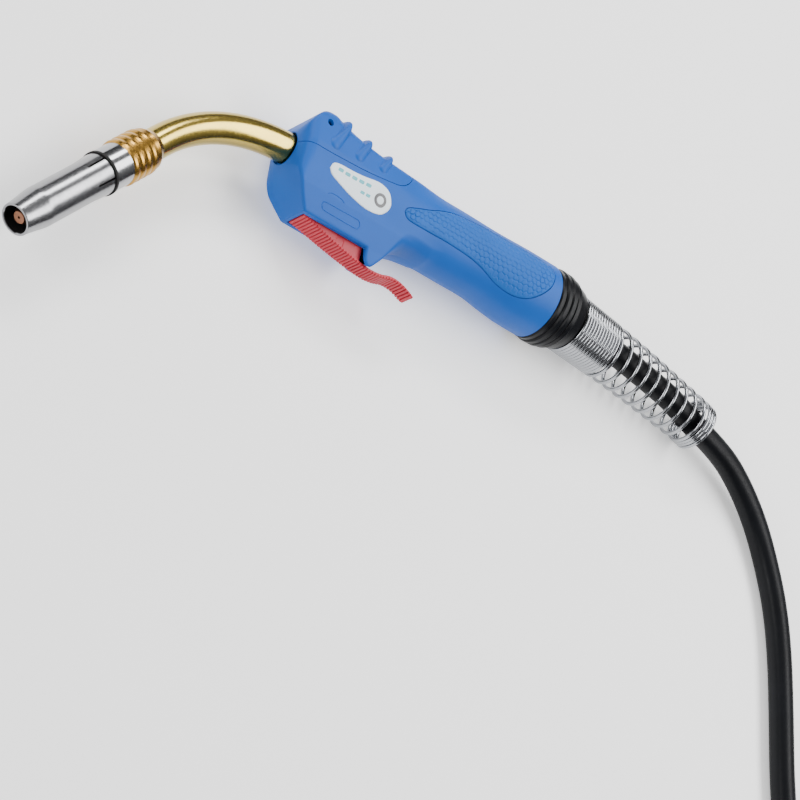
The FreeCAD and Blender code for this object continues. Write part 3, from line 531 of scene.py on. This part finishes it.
M = {
    "chrome": material("chrome", (0.27, 0.27, 0.28), 0.22, 1, vary=0.06, grain=0.03, wear=0.05),
    "sleeve": material("sleeve", (0.34, 0.34, 0.35), 0.16, 1, vary=0.05, grain=0.03, wear=0.04),
    "spring": material("spring", (0.34, 0.35, 0.37), 0.16, 1, vary=0.06, grain=0.08, wear=0.05),
    "steel": material("steel", (0.26, 0.26, 0.26), 0.34, 1, vary=0.12, grain=0.2, wear=0.08),
    "neck": material("neck", (0.50, 0.37, 0.085), 0.2, 1, vary=0.08, grain=0.03, wear=0.05),
    "ribs": material("ribs", (0.42, 0.23, 0.045), 0.26, 1, vary=0.14, grain=0.05, wear=0.06),
    "brass": material("brass", (0.72, 0.52, 0.24), 0.28, 1, vary=0.12, grain=0.2, wear=0.08),
    "copper": material("copper", (0.24, 0.11, 0.065), 0.38, 1, vary=0.15, grain=0.2, wear=0.08),
    "insulator": material("insulator", (0.035, 0.03, 0.03), 0.55, vary=0.3, grain=0.3),
    "ceramic": material("ceramic", (0.60, 0.56, 0.50), 0.6, vary=0.1, grain=0.3),
    "blue": material("blue", (0.002, 0.088, 0.42), 0.5, specular=0.22, vary=0.05, grain=0.22,
                     grain_scale=2600, wear=0.07),
    "pad": material("pad", (0.008, 0.105, 0.43), 0.62, specular=0.22, vary=0.07, grain=0.3,
                    grain_scale=2600, wear=0.06),
    "red": material("red", (0.50, 0.030, 0.050), 0.45, specular=0.3, vary=0.07, grain=0.2,
                    grain_scale=2400, wear=0.07),
    "black": material("black", (0.004, 0.0045, 0.006), 0.34, specular=0.14, vary=0.2, grain=0.3,
                      grain_scale=1800, wear=0.08),
    "rubber": material("rubber", (0.004, 0.0045, 0.006), 0.4, specular=0.13, vary=0.25, grain=0.4,
                       grain_scale=1500, wear=0.1),
    "teal": material("teal", (0.05, 0.42, 0.50), 0.4, vary=0.05, grain=0.05),
    "grey": material("grey", (0.10, 0.10, 0.105), 0.4, vary=0.1, grain=0.05),
    "white": material("white", (0.78, 0.88, 0.93), 0.4, vary=0.03, grain=0.05, wear=0.05),
    # Near black, painted shade: used where shade falls inside the nozzle, on its slit walls and on the sleeve
    # under the nozzle's rear edge.
    "painted_shade": material("painted_shade", (0.012, 0.011, 0.011), 0.6, specular=0.2, vary=0.4, grain=0.4),
    "wire": material("wire", (0.5, 0.5, 0.48), 0.5, vary=0.1, grain=0.2),
}


def dress(colour, *names):
    """Give CAD nodes a material; their shape stays."""
    for name in names:
        mesh = nodes[name].data
        mesh.materials.clear()
        mesh.materials.append(M[colour])
        for face in mesh.polygons:
            face.material_index = 0


NOZZLE_MOUTH = np.array([-289.90, 0, -104.73])
NOZZLE_AXIS = np.array([0.6428, 0, 0.7660])
# The seat sleeve gets painted shade from its front up to here, just past the nozzle's rear edge, for the dark gap
# ring.
SEAT_SHADE_PAINTED_TO = 55.2
# The nozzle's wall: distance from the mouth and radius, round the outside and back through the bore.
NOZZLE_WALL = [(0.35, 6.27), (0.0, 6.5), (0.0, 7.3), (0.3, 7.55), (4.5, 8.0), (13.0, 9.2), (13.8, 9.28), (15, 9.3),
               (44, 9.3), (52.9, 9.78), (53.4, 9.75), (53.6, 9.5), (53.6, 8.47), (38, 8.47), (37.5, 8.1),
               (16, 8.1), (5, 6.55)]
SLITS = 6
SLIT_WIDTH = 1.0
SLIT_FROM, SLIT_TO = 43.4, 60
SLIT_DEPTH = (8, 13)


def nozzle_frame():
    """The nozzle's mouth and its axis in the bench frame."""
    mouth = Vector(bench(NOZZLE_MOUTH))
    axis = (Vector(bench(NOZZLE_MOUTH + NOZZLE_AXIS)) - mouth).normalized()
    return mouth, axis


def make_nozzle():
    """The gas nozzle: a turned shell with thin slits round its rear edge."""
    side = np.array([0, -1.0, 0])
    other = np.cross(NOZZLE_AXIS, side)
    turn = np.linspace(0, 2 * math.pi, 144, endpoint=False)
    out = np.cos(turn)[:, None] * side + np.sin(turn)[:, None] * other
    rings = np.stack([NOZZLE_MOUTH + far * NOZZLE_AXIS + radius * out for far, radius in NOZZLE_WALL])
    thing = loose("gas_nozzle_skin", grid_mesh("gas_nozzle_skin", bench(rings), True, True))
    cutters = []
    for index in range(SLITS):
        angle = 2 * math.pi * (index + 0.5) / SLITS
        outward = math.cos(angle) * side + math.sin(angle) * other
        across = np.cross(NOZZLE_AXIS, outward) * SLIT_WIDTH / 2
        low, high = SLIT_DEPTH
        section = ((low, -1), (low, 1), (high, 1), (high, -1))
        corners = [NOZZLE_MOUTH + far * NOZZLE_AXIS + radius * outward + hand * across
                   for far in (SLIT_FROM, SLIT_TO) for radius, hand in section]
        slit = grid_mesh(f"slit_{index}", bench(np.array(corners)).reshape(2, 4, 3), False, True, caps=True)
        cutters.append(loose(f"slit_{index}", slit))
    carved(thing, cutters)
    finish_carved(thing, "chrome", 30, "gas_nozzle", "gas_nozzle")
    # Painted shade: near black on the nozzle's inward-facing bore and on its slit walls, away from the mouth.
    paint_shade_inside(thing.data, lambda far, outward, back: outward < 0.3 and far > 0.6 and abs(back) < 0.9)


def paint_shade_inside(mesh, hidden):
    """Give the painted-shade material, a near black that stands in for shade, to the faces of a turned front-end
    part that a rule picks.

    The rule is asked with the face's distance from the mouth and how far it looks outwards and backwards.
    """
    mesh.materials.append(M["painted_shade"])
    mouth, axis = nozzle_frame()
    for face in mesh.polygons:
        rel = face.center - mouth
        far = rel.dot(axis)
        out = rel - axis * far
        if hidden(far / MM, face.normal.dot(out.normalized()), face.normal.dot(axis)):
            face.material_index = 1


def dress_frame():
    dress("sleeve", "nozzle_seat_sleeve")
    # Painted shade on the sleeve inside the nozzle, and on a ring just behind the nozzle's rear edge for the dark
    # gap.
    paint_shade_inside(nodes["nozzle_seat_sleeve"].data, lambda far, outward, back: far < SEAT_SHADE_PAINTED_TO)
    dress("insulator", "insulating_sleeve")
    dress("ribs", "neck_rib_collar")
    dress("ceramic", "gas_diffuser")
    dress("brass", "tip_holder", "neck_clamp_nut", "cable_end_fitting", "switch_terminals", "connector_plug",
          "gas_nipple", "control_pins")
    dress("copper", "inner_conductor", "contact_tip")
    dress("neck", "swan_neck")
    dress("steel", "wire_liner", "spring_ferrule", "trigger_return_spring", "cover_screw", "trigger_pivot_pin")
    dress("white", "name_plate_left", "name_plate_right")
    dress("black", "rear_collar", "switch_body", "connector_shell_upper", "connector_shell_lower",
          "connector_hand_nut")
    dress("red", "switch_plunger")
    dress("wire", "control_wires")
    dress("rubber", "connector_boot", "nipple_o_ring")


# ---------------------------------------------------------------- handle, pads and plates

# The line where the top cover meets the body, on the near side.
PARTING = [(-175, 0.5), (-158.8, 0.4), (-149.2, 0.3), (-139, 0.7), (-128.7, 1.2), (-118.4, 2.0),
           (-108.4, 3.2), (-104.1, 4.6), (-100.6, 7.4), (-98.2, 11), (-96.6, 15), (-95.8, 20), (-95.5, 30)]
GAP = 0.32
SIDES = (("near", -1), ("far", 1))
TRIGGER_SLOT = [(-149.9, -60), (-149.9, -20), (-112.6, -20), (-112.6, -31.8), (-90, -31.8), (-90, -60)]
SLOT_HALF_WIDTH = 6.1
# What is taken off the lower tip of the lip on the far side of the slot.
FAR_LIP_CUT = [(-113, -60), (-113, -36.6), (-100, -36.6), (-100, -60)]
FAR_LIP_Y = (5, 12)
# The small recess on each shoulder of the head, and the hole for the cover's screw.
RECESS_FROM = np.array([-149.6, 11.5, 14.2])
RECESS_TO = np.array([-150.4, 20, 17.6])
RECESS_RADIUS = 1.75
SCREW_FROM = (-141.6, 0, 22)
SCREW_TO = (-141.6, 0, 40)
SCREW_HOLE_RADIUS = 2.6


def parting_outlines():
    """Closed outlines (x, z) of all that is above and all that is below the parting line, a gap apart."""
    line = smooth_curve(PARTING[1:-1], 5)
    line = np.vstack([[PARTING[0]], line, [PARTING[-1]]])
    along = directions_of(line)
    normal = np.column_stack([-along[:, 1], along[:, 0]])
    upper = np.vstack([line + normal * GAP / 2, [(-175, 30)]])
    lower = np.vstack([line - normal * GAP / 2, [(-60, 30), (20, 30), (20, -60), (-175, -60)]])
    return upper, lower


def make_handle():
    """The handle's body and its top cover, cut from one shell."""
    shell = loose("handle_shell", handle_shell_mesh())
    cutters = [loose("slot_cut", prism_mesh("slot_cut", TRIGGER_SLOT, -SLOT_HALF_WIDTH, SLOT_HALF_WIDTH))]
    for name, side in SIDES:
        cutters.append(loose(f"pad_cut_{name}", pad_block(side)))
    cutters.append(loose("lip_cut", prism_mesh("lip_cut", FAR_LIP_CUT, *FAR_LIP_Y)))
    for name, side in SIDES:
        hand = np.array([1, side, 1])
        cutters.append(rod(f"recess_{name}", RECESS_FROM * hand, RECESS_TO * hand, RECESS_RADIUS, 40))
    cutters.append(rod("screw_cut", SCREW_FROM, SCREW_TO, SCREW_HOLE_RADIUS, 48))
    carved(shell, cutters)

    upper, lower = parting_outlines()
    cover = loose("handle_cover_skin", shell.data.copy())
    carved(cover, [loose("cover_part", prism_mesh("cover_part", upper, -40, 40))], "INTERSECT")
    carved(shell, [loose("body_part", prism_mesh("body_part", lower, -40, 40))], "INTERSECT")
    shell.name = "handle_body_skin"
    finish_carved(shell, "blue", 38, "torch", "handle_body")
    finish_carved(cover, "blue", 38, "torch", "handle_top_cover")


PAD_OUTLINE = [(-99.7, -7.4), (-98.8, -5.1), (-93.8, -2.7), (-85.7, 0.4), (-79.3, 3.4), (-71.5, 6.3),
               (-63.8, 8.0), (-52, 9.6), (-38, 10.4), (-24, 10.3), (-12, 9.3), (-6.8, 7.6), (-5.2, 4.6),
               (-5.6, 0.6), (-7.2, -4.0), (-11.1, -9.1), (-17, -13.2), (-25, -14.6), (-36, -13.4),
               (-44.5, -11.4), (-53.1, -9.9), (-63.8, -9.2), (-77.5, -9.2), (-92.8, -9.9), (-97.6, -9.4)]
PAD_PROUD = 0.28
PAD_DEEP = 1.2
PAD_GAP = 0.3
RECESS_ABOVE = 6
# The pad's rolled edge: how far in from the outline, and how high.
PAD_EDGE = ((0.0, -0.25), (0.08, 0.02), (0.3, 0.2), (0.6, PAD_PROUD))
PAD_FACE_RINGS = 90
CELL_HEIGHT = 0.42
CELL_SINK = 0.3
# The pad's middle line, which the rings of its face close on.
PAD_MIDDLE_X = [-92, -80, -64, -50, -25, -14]
PAD_MIDDLE_Z = [-6.2, -3.6, -0.8, -0.4, -1.6, -0.8]


def pad_ring(inset, steps=5):
    """The pad's outline, drawn in by a distance."""
    loop = smooth_curve(PAD_OUTLINE + PAD_OUTLINE[:1], steps)[:-1]
    ahead = np.roll(loop, -1, 0) - np.roll(loop, 1, 0)
    ahead /= np.linalg.norm(ahead, axis=1)[:, None]
    inward = np.column_stack([ahead[:, 1], -ahead[:, 0]])
    return loop + inward * inset


def shrunk(ring, share):
    """The outline drawn towards the pad's middle line."""
    x = np.clip(ring[:, 0], ring[:, 0].min() + 7, ring[:, 0].max() - 9)
    middle = np.column_stack([x, np.interp(x, PAD_MIDDLE_X, PAD_MIDDLE_Z)])
    return ring + (middle - ring) * share


def closing_rings(outline, rise, side, count=9):
    """Rings at one height over the handle's side, from inside an outline to the pad's middle line."""
    shares = np.linspace(0, 1, count + 1)[1:] * 0.995
    return [on_side(shrunk(outline, share), rise, side) for share in shares]


def pad_block(side):
    """The recess that a pad lies in, as a block from above the handle's side down to the pad's bed."""
    outline = pad_ring(-PAD_GAP)
    lid = closing_rings(outline, RECESS_ABOVE, side)
    walls = [on_side(outline, RECESS_ABOVE, side), on_side(outline, -PAD_DEEP, side)]
    bed = closing_rings(outline, -PAD_DEEP, side)
    return grid_mesh(f"pad_recess_{side}", bench(np.stack(lid[::-1] + walls + bed)), False, True, caps=True)


def cells(x, z, pitch=3.0):
    """A pattern of raised, slightly uneven hexagonal cells, as heights from 0 in the grooves to 1."""
    row_step = pitch * 0.866
    j0 = np.floor(z / row_step)
    first = np.full(x.shape, 1e9)
    second = np.full(x.shape, 1e9)
    for dj in (-1, 0, 1, 2):
        j = j0 + dj
        offset = 0.5 * (j % 2)
        i0 = np.floor(x / pitch - offset)
        for di in (-1, 0, 1, 2):
            i = i0 + di
            one = np.sin(i * 12.9898 + j * 78.233) * 4375.8545
            two = np.sin(i * 39.346 + j * 11.135) * 2463.4634
            cx = (i + offset + 0.34 * (one - np.floor(one) - 0.5)) * pitch
            cz = (j + 0.34 * (two - np.floor(two) - 0.5)) * row_step
            gap = np.hypot(x - cx, z - cz)
            second = np.minimum(second, np.maximum(first, gap))
            first = np.minimum(first, gap)
    return np.clip((second - first) / (0.3 * pitch), 0, 1) ** 0.8


def make_pads():
    """The two soft pads, each a plate with a rolled edge and a face of raised cells."""
    for name, side in SIDES:
        rings = [on_side(pad_ring(0.0, 28), -(PAD_DEEP - 0.15), side)]
        for inset, rise in PAD_EDGE:
            rings.append(on_side(pad_ring(inset, 28), rise, side))
        border = pad_ring(PAD_EDGE[-1][0], 28)
        for index, share in enumerate(np.linspace(0, 1, PAD_FACE_RINGS + 1)[1:]):
            ring = shrunk(border, share * 0.998)
            height = (CELL_HEIGHT * cells(ring[:, 0], ring[:, 1]) - CELL_SINK) * min(1, index / 3)
            rings.append(on_side(ring, PAD_PROUD + height, side))
        mesh = grid_mesh(f"grip_pad_{name}_skin", bench(np.stack(rings)), False, True, caps=True)
        thing = new_object(f"grip_pad_{name}_skin", mesh, "torch", M["pad"])
        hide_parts("grip_pad_left" if side < 0 else "grip_pad_right")


# Outlines (x, z) on the handle's side: the plate, and the raised frame and arc below it.
LABEL = [(-145.7, -6.8), (-144.5, -3.9), (-141.4, -2.7), (-133.5, -2.3), (-126.1, -1.7), (-119.5, -0.7),
         (-115.0, -0.9), (-110.8, -2.9), (-108.5, -6.9), (-108.2, -9.6), (-109.6, -12.4), (-113.1, -15.0),
         (-120.7, -15.9), (-130.8, -14.1), (-139.5, -11.2), (-143.9, -9.3)]
EMBOSS = [(-143.9, -24.6), (-143.7, -23.5), (-142.4, -22.7), (-133, -22.5), (-124.2, -22.3),
          (-122.0, -22.7), (-121.0, -24.0), (-121.2, -25.4), (-122.6, -26.3), (-132, -26.4),
          (-141.1, -26.4), (-143.0, -25.9)]
EMBOSS_ARC = [(-142.7, -18.6), (-141.2, -17.7), (-138, -17.5), (-135, -17.9), (-133, -18.9)]
# Blank print on the plate: short bars, each (x, z, half length, half height), and a plain ring.
PRINT = [(-139.6, -5.2, 1.5, 0.9), (-135.4, -5.3, 1.5, 0.9), (-131.2, -5.2, 1.5, 0.9), (-127.0, -5.0, 1.5, 0.9),
         (-122.8, -4.7, 1.5, 0.9), (-125.0, -9.6, 1.2, 0.8), (-121.6, -9.5, 1.2, 0.8)]
BAR_LEAN = 0.18
RING_CENTRE = (-114.6, -8.6)
# The ring is a grey disc with a smaller white one on it: radius, material and height.
RING_DISCS = ((3.4, "grey", 0.37), (1.9, "white", 0.41))
LINE_RADIUS = 0.22


def side_patch(name, loop, side, low, height, colour, rings, rolled):
    """A thin closed plate on the handle's side, from a low height up to its flat face with a rolled edge."""
    loop = np.asarray(loop, float)
    middle = loop.mean(0)
    stack = [on_side(loop, low, side), on_side(loop, height - rolled * 0.9, side)]
    size = np.abs(loop - middle).max(0).min()
    for share, rise in ((rolled * 0.35 / size, height - rolled * 0.25), (rolled / size, height)):
        stack.append(on_side(loop + (middle - loop) * share, rise, side))
    for share in np.linspace(rolled / size, 1, rings + 1)[1:]:
        stack.append(on_side(loop + (middle - loop) * share * 0.998, height, side))
    mesh = grid_mesh(name, bench(np.stack(stack)), False, True, caps=True)
    return new_object(name, mesh, "torch", M[colour])


def bar(x, z, half_length, half_height):
    """The outline of a short bar with rounded corners that leans a little."""
    turn = np.linspace(0, 2 * math.pi, 24, endpoint=False)
    wide = np.sign(np.cos(turn)) * np.abs(np.cos(turn)) ** 0.4
    high = np.sign(np.sin(turn)) * np.abs(np.sin(turn)) ** 0.4
    return np.column_stack([x + half_length * wide + BAR_LEAN * half_height * high, z + half_height * high])


def make_labels():
    """The blank plates with their bars and ring, and the empty raised frame and arc, on both sides."""
    plate = smooth_curve(LABEL + LABEL[:1], 8)[:-1]
    emboss = smooth_curve(EMBOSS + EMBOSS[:1], 8)[:-1]
    arc = smooth_curve(EMBOSS_ARC, 8)
    turn = np.linspace(0, 2 * math.pi, 40, endpoint=False)
    round_line = np.column_stack([np.cos(turn), np.sin(turn)])
    for name, side in SIDES:
        thing = side_patch(f"name_plate_{name}", plate, side, -0.2, 0.32, "white", 10, 0.3)
        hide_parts("name_plate_left" if side < 0 else "name_plate_right")
        for index, place in enumerate(PRINT):
            side_patch(f"print_{name}_{index}", bar(*place), side, 0.2, 0.36, "teal", 2, 0.03)
        for index, (radius, colour, height) in enumerate(RING_DISCS):
            disc = RING_CENTRE + radius * round_line
            side_patch(f"print_{name}_ring_{index}", disc, side, 0.2, height, colour, 3, 0.03)
        raised_line(f"raised_frame_{name}", emboss, side, True)
        raised_line(f"raised_arc_{name}", arc, side, False)


def raised_line(name, line, side, closed):
    """A thin raised line that follows the handle's side."""
    path = on_side(line, 0.0, side)
    if closed:
        before, after = np.roll(path, 1, 0), np.roll(path, -1, 0)
    else:
        before, after = np.vstack([path[:1], path[:-1]]), np.vstack([path[1:], path[-1:]])
    ahead = after - before
    ahead /= np.linalg.norm(ahead, axis=1)[:, None]
    out = np.array([0, side, 0.0])
    across = np.cross(ahead, out)
    across /= np.linalg.norm(across, axis=1)[:, None]
    turn = np.linspace(0, 2 * math.pi, 8, endpoint=False)
    ring = np.cos(turn)[None, :, None] * across[:, None] + np.sin(turn)[None, :, None] * out
    mesh = grid_mesh(name, bench(path[:, None] + LINE_RADIUS * ring), closed, True, caps=not closed)
    new_object(name, mesh, "torch", M["blue"])


# ---------------------------------------------------------------- trigger

# The trigger from the side (x, z): the line of its ribbed underside, and its top in front of the tail.
TRIGGER_UNDER = [(-148.9, -31.0), (-143, -32.3), (-136, -34.0), (-128, -35.8), (-120, -37.4), (-112, -38.7),
                 (-105, -39.4), (-98.5, -38.8), (-92.5, -37.1), (-88, -37.0), (-84, -38.0), (-80.6, -39.4),
                 (-78.4, -39.9)]
TRIGGER_TOP = np.array([(-149.2, -23.8), (-141.6, -23.8), (-141.3, -28.4), (-128.3, -28.4), (-128.0, -26.1),
                        (-124.0, -26.1), (-123.7, -28.5), (-114.0, -28.6), (-113.0, -28.6)])


WIDTH_X = [-149, -113, -100, -80, -77]
HALF_WIDTH = [5.6, 4.5, 4.4, 4.3, 3.6]
SIDES_NARROWER = 0.7
TOP_HALF_WIDTH = 5.5
STRIP_THICK = 1.35
RIB_PITCH = 1.75
RIB_DEPTH = 0.95
RIB_GROOVE_SHARE = 0.2
TAIL_THICK = 2.25
TAIL_TIP_THINNER = 0.8
TAIL_FROM = (-113.9, -113.1)
PIN_X = -145.5
PIN_HOLE_RADIUS = 1.7
WELL_BOTTOM = (-138.4, 0, -31.6)
WELL_TOP = (-138.4, 0, -20)
WELL_RADIUS = 2.9


def make_trigger():
    """The lever: a plate with transverse ribs below, narrower smooth sides above it, and a bent tail."""
    under = smooth_curve(TRIGGER_UNDER, 14)
    travelled = distance_along(under)
    length = travelled[-1]
    fine = np.linspace(0, length, 700)
    under = np.column_stack([np.interp(fine, travelled, under[:, 0]), np.interp(fine, travelled, under[:, 1])])
    ahead = directions_of(under)
    inward = np.column_stack([-ahead[:, 1], ahead[:, 0]])
    tooth = (fine / RIB_PITCH) % 1
    groove = 1 - np.clip(np.minimum(tooth, 1 - tooth) / RIB_GROOVE_SHARE, 0, 1) ** 2
    depth = RIB_DEPTH * groove * ease(fine, 1.0, 2.0) * (1 - ease(fine, length - 1.6, length - 0.8))
    top = np.interp(under[:, 0], TRIGGER_TOP[:, 0], TRIGGER_TOP[:, 1])
    tail = ease(under[:, 0], *TAIL_FROM)
    thick = TAIL_THICK - TAIL_TIP_THINNER * ease(fine, length - 4, length)
    rings = []
    for k in range(len(fine)):
        base = under[k]
        toward = np.array([0, 1.0]) * (1 - tail[k]) + inward[k] * tail[k]
        rise = (top[k] - base[1]) * (1 - tail[k]) + thick[k] * tail[k]
        step = min(STRIP_THICK, rise * 0.55)
        width = np.interp(base[0], WIDTH_X, HALF_WIDTH)
        narrow = width - SIDES_NARROWER
        upper = narrow + (TOP_HALF_WIDTH - narrow) * (1 - tail[k])
        section = [(-width + 0.3, depth[k]), (-width * 0.6, depth[k]), (0, depth[k]), (width * 0.6, depth[k]),
                   (width - 0.3, depth[k]), (width, depth[k] + 0.3), (width, step), (narrow, step + 0.15),
                   (upper, rise - 0.35), (upper - 0.35, rise), (0, rise), (-upper + 0.35, rise),
                   (-upper, rise - 0.35), (-narrow, step + 0.15), (-width, step), (-width, depth[k] + 0.3)]
        rings.append([(base[0] + toward[0] * up, across, base[1] + toward[1] * up) for across, up in section])
    mesh = grid_mesh("trigger_skin", bench(np.array(rings)), False, True, caps=True)
    thing = loose("trigger_skin", mesh)
    pin_hole = rod("pin_cut", (PIN_X, -20, -PIN_BELOW_AXIS), (PIN_X, 20, -PIN_BELOW_AXIS), PIN_HOLE_RADIUS, 40)
    well = rod("well_cut", WELL_BOTTOM, WELL_TOP, WELL_RADIUS, 40)
    carved(thing, [pin_hole, well])
    finish_carved(thing, "red", 28, "trigger", "trigger")


# ---------------------------------------------------------------- support spring

SPRING_AXIS = [(22.1, 0.2, -2.3), (36, 0.9, -3.4), (52, 1.7, -4.6), (68, 2.7, -5.9), (86, 3.9, -7.8),
               (103, 5.1, -9.7), (118, 5.9, -11.6), (127.2, 6.5, -13.7)]
WIRE = 1.03
FRONT_R, REAR_R = 16.1, 13.4
# How far along the axis, out of the last figure, and how many turns there are up to there: the wire's start, close
# turns, open turns, close turns and the wire's end.
STOPS = np.array([0.0, 1.3, 26.5, 99.0, 105.0, 107.0])
TURNS = np.array([0.0, 0.5, 13.2, 22.6, 25.4, 26.0])
POINTS_A_WIRE_TURN = 40
STATIONS = 3000
BLUR = 70


def make_spring():
    """A wound wire: close turns at the collar, open turns, and close turns at its end."""
    axis = smooth_curve(SPRING_AXIS, 40)
    travelled = distance_along(axis)
    length = travelled[-1]
    stations = np.linspace(0, length, STATIONS)
    # The turns follow the distance smoothly, so the pitch grows over a turn or so.
    rate = np.interp(stations, STOPS * length / STOPS[-1], TURNS)
    kernel = np.hanning(BLUR)
    kernel /= kernel.sum()
    half = BLUR // 2
    padded = np.concatenate([2 * rate[0] - rate[half:0:-1], rate, 2 * rate[-1] - rate[-2:-2 - half:-1]])
    rate = np.convolve(padded, kernel, "same")[half:-half]
    angle = np.linspace(rate[0], rate[-1], int(TURNS[-1]) * POINTS_A_WIRE_TURN)
    at = np.clip(np.interp(angle, rate, stations), WIRE, length - WIRE)
    centre = np.stack([np.interp(at, travelled, axis[:, k]) for k in range(3)], 1)
    ahead = directions_of(axis)
    along = np.stack([np.interp(at, travelled, ahead[:, k]) for k in range(3)], 1)
    up = np.cross(along, (0, 1, 0))
    up /= np.linalg.norm(up, axis=1)[:, None]
    side = np.cross(along, up)
    turn = 2 * math.pi * angle
    radius = np.interp(at, [0, length], [FRONT_R, REAR_R]) - WIRE - 0.02
    path = centre + radius[:, None] * (np.cos(turn)[:, None] * up + np.sin(turn)[:, None] * side)
    rings = tube_points(path, WIRE, 12)
    ends = [rings[0] * 0.35 + path[0] * 0.65, rings[-1] * 0.35 + path[-1] * 0.65]
    mesh = grid_mesh("spring_wire", bench(np.concatenate([ends[:1], rings, ends[1:]])), False, True, caps=True)
    thing = new_object("spring_wire", mesh, "torch", M["spring"])
    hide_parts("support_spring")


# ---------------------------------------------------------------- cable

CABLE_D = 13.0
HELD_CABLE = [(-94, 0, 0.6), (-50, 0, 0.2), (-10, 0, -0.7), (8, 0.1, -1.3)] + SPRING_AXIS


def make_held_cable():
    """The cable inside the handle and the spring; in the spring it lies against the upper side."""
    path = smooth_curve(HELD_CABLE, 12)
    path[:, 2] += 3.4 * ease(path[:, 0], 36, 60) * (1 - ease(path[:, 0], 98, 125))
    mesh = grid_mesh("held_cable", bench(tube_points(path, CABLE_D / 2, 48)), False, True, caps=True)
    thing = new_object("held_cable", mesh, "torch", M["rubber"], smooth=False)
    for face in mesh.polygons:
        face.use_smooth = len(face.vertices) == 4
    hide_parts("cable_in_handle")


# The route on the bench, in millimetres of the bench frame.
ROUTE_TO_COIL = [(209.9, 26.71, 13.5), (229.36, 22.27, 12.23), (246.6, 12.9, 10.2), (263.2, -1.5, 8),
                 (275.8, -19.6, 6.5), (285.6, -41.5, 6.5), (292.1, -66.7, 6.5), (296.8, -98.3, 6.5),
                 (301.5, -136, 6.5), (310, -173, 6.5), (321, -209, 6.5), (329, -246, 6.5)]
ROUTE_FROM_COIL = [(247, -360.5, 19.5), (222, -360, 20.5), (197, -355, 23.6), (176, -348, 23.6)]
COIL_CENTRE = (247, -276)
COIL_RADII = (84.5, 71.5, 58.5)
LAYERS = (6.5, 19.5)
COIL_TURNS = 5.27
COIL_ENTRY = math.radians(15)
# How much a spline of this order stays inside its points, with this many points to a turn.
POINTS_A_TURN = 20
DRAWN_IN = (3 + math.cos(2 * math.pi / POINTS_A_TURN)) / 4


def coil_points():
    """Clockwise turns: inwards over three columns on the bench, up, and outwards again on the layer above."""
    stops = [(0.05, COIL_RADII[0], LAYERS[0]), (0.72, COIL_RADII[0], LAYERS[0]), (1.0, COIL_RADII[1], LAYERS[0]),
             (1.75, COIL_RADII[1], LAYERS[0]), (2.0, COIL_RADII[2], LAYERS[0]), (2.7, COIL_RADII[2], LAYERS[0]),
             (3.0, COIL_RADII[2], LAYERS[1]), (3.7, COIL_RADII[2], LAYERS[1]), (4.0, COIL_RADII[1], LAYERS[1]),
             (4.6, COIL_RADII[1], LAYERS[1]), (4.85, COIL_RADII[0], LAYERS[1]),
             (COIL_TURNS, COIL_RADII[0], LAYERS[1])]
    turns, radii, heights = np.array(stops).T
    points = []
    for step in range(1, int(COIL_TURNS * POINTS_A_TURN) + 1):
        turn = step / POINTS_A_TURN
        angle = COIL_ENTRY - 2 * math.pi * turn
        radius = np.interp(turn, turns, radii) / DRAWN_IN
        points.append((COIL_CENTRE[0] + radius * math.cos(angle), COIL_CENTRE[1] + radius * math.sin(angle),
                       float(np.interp(turn, turns, heights))))
    return points


def make_cable():
    """The free cable as one spline, and the place where it leaves the spring."""
    route = ROUTE_TO_COIL + coil_points() + ROUTE_FROM_COIL
    curve = bpy.data.curves.new("power_cable", "CURVE")
    curve.dimensions = "3D"
    spline = curve.splines.new("NURBS")
    spline.points.add(len(route) - 1)
    for point, place in zip(spline.points, route):
        point.co = (*(c * MM for c in place), 1)
    spline.order_u = 3
    spline.use_endpoint_u = True
    spline.resolution_u = 8
    curve.bevel_depth = CABLE_D / 2 * MM
    curve.bevel_resolution = 8
    curve.use_fill_caps = True
    curve.materials.append(M["rubber"])
    cable = bpy.data.objects.new("power_cable", curve)
    bpy.context.scene.collection.objects.link(cable)
    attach(cable, "torch")
    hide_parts("cable_run", "cable_coil", "cable_tail")
    return cable, tuple(c * MM for c in route[0])


make_camera()
make_lights()
make_sky()
make_floor()
dress_frame()
cable, cable_exit = make_cable()
make_nozzle()
make_handle()
make_pads()
make_labels()
make_held_cable()
make_trigger()
make_spring()
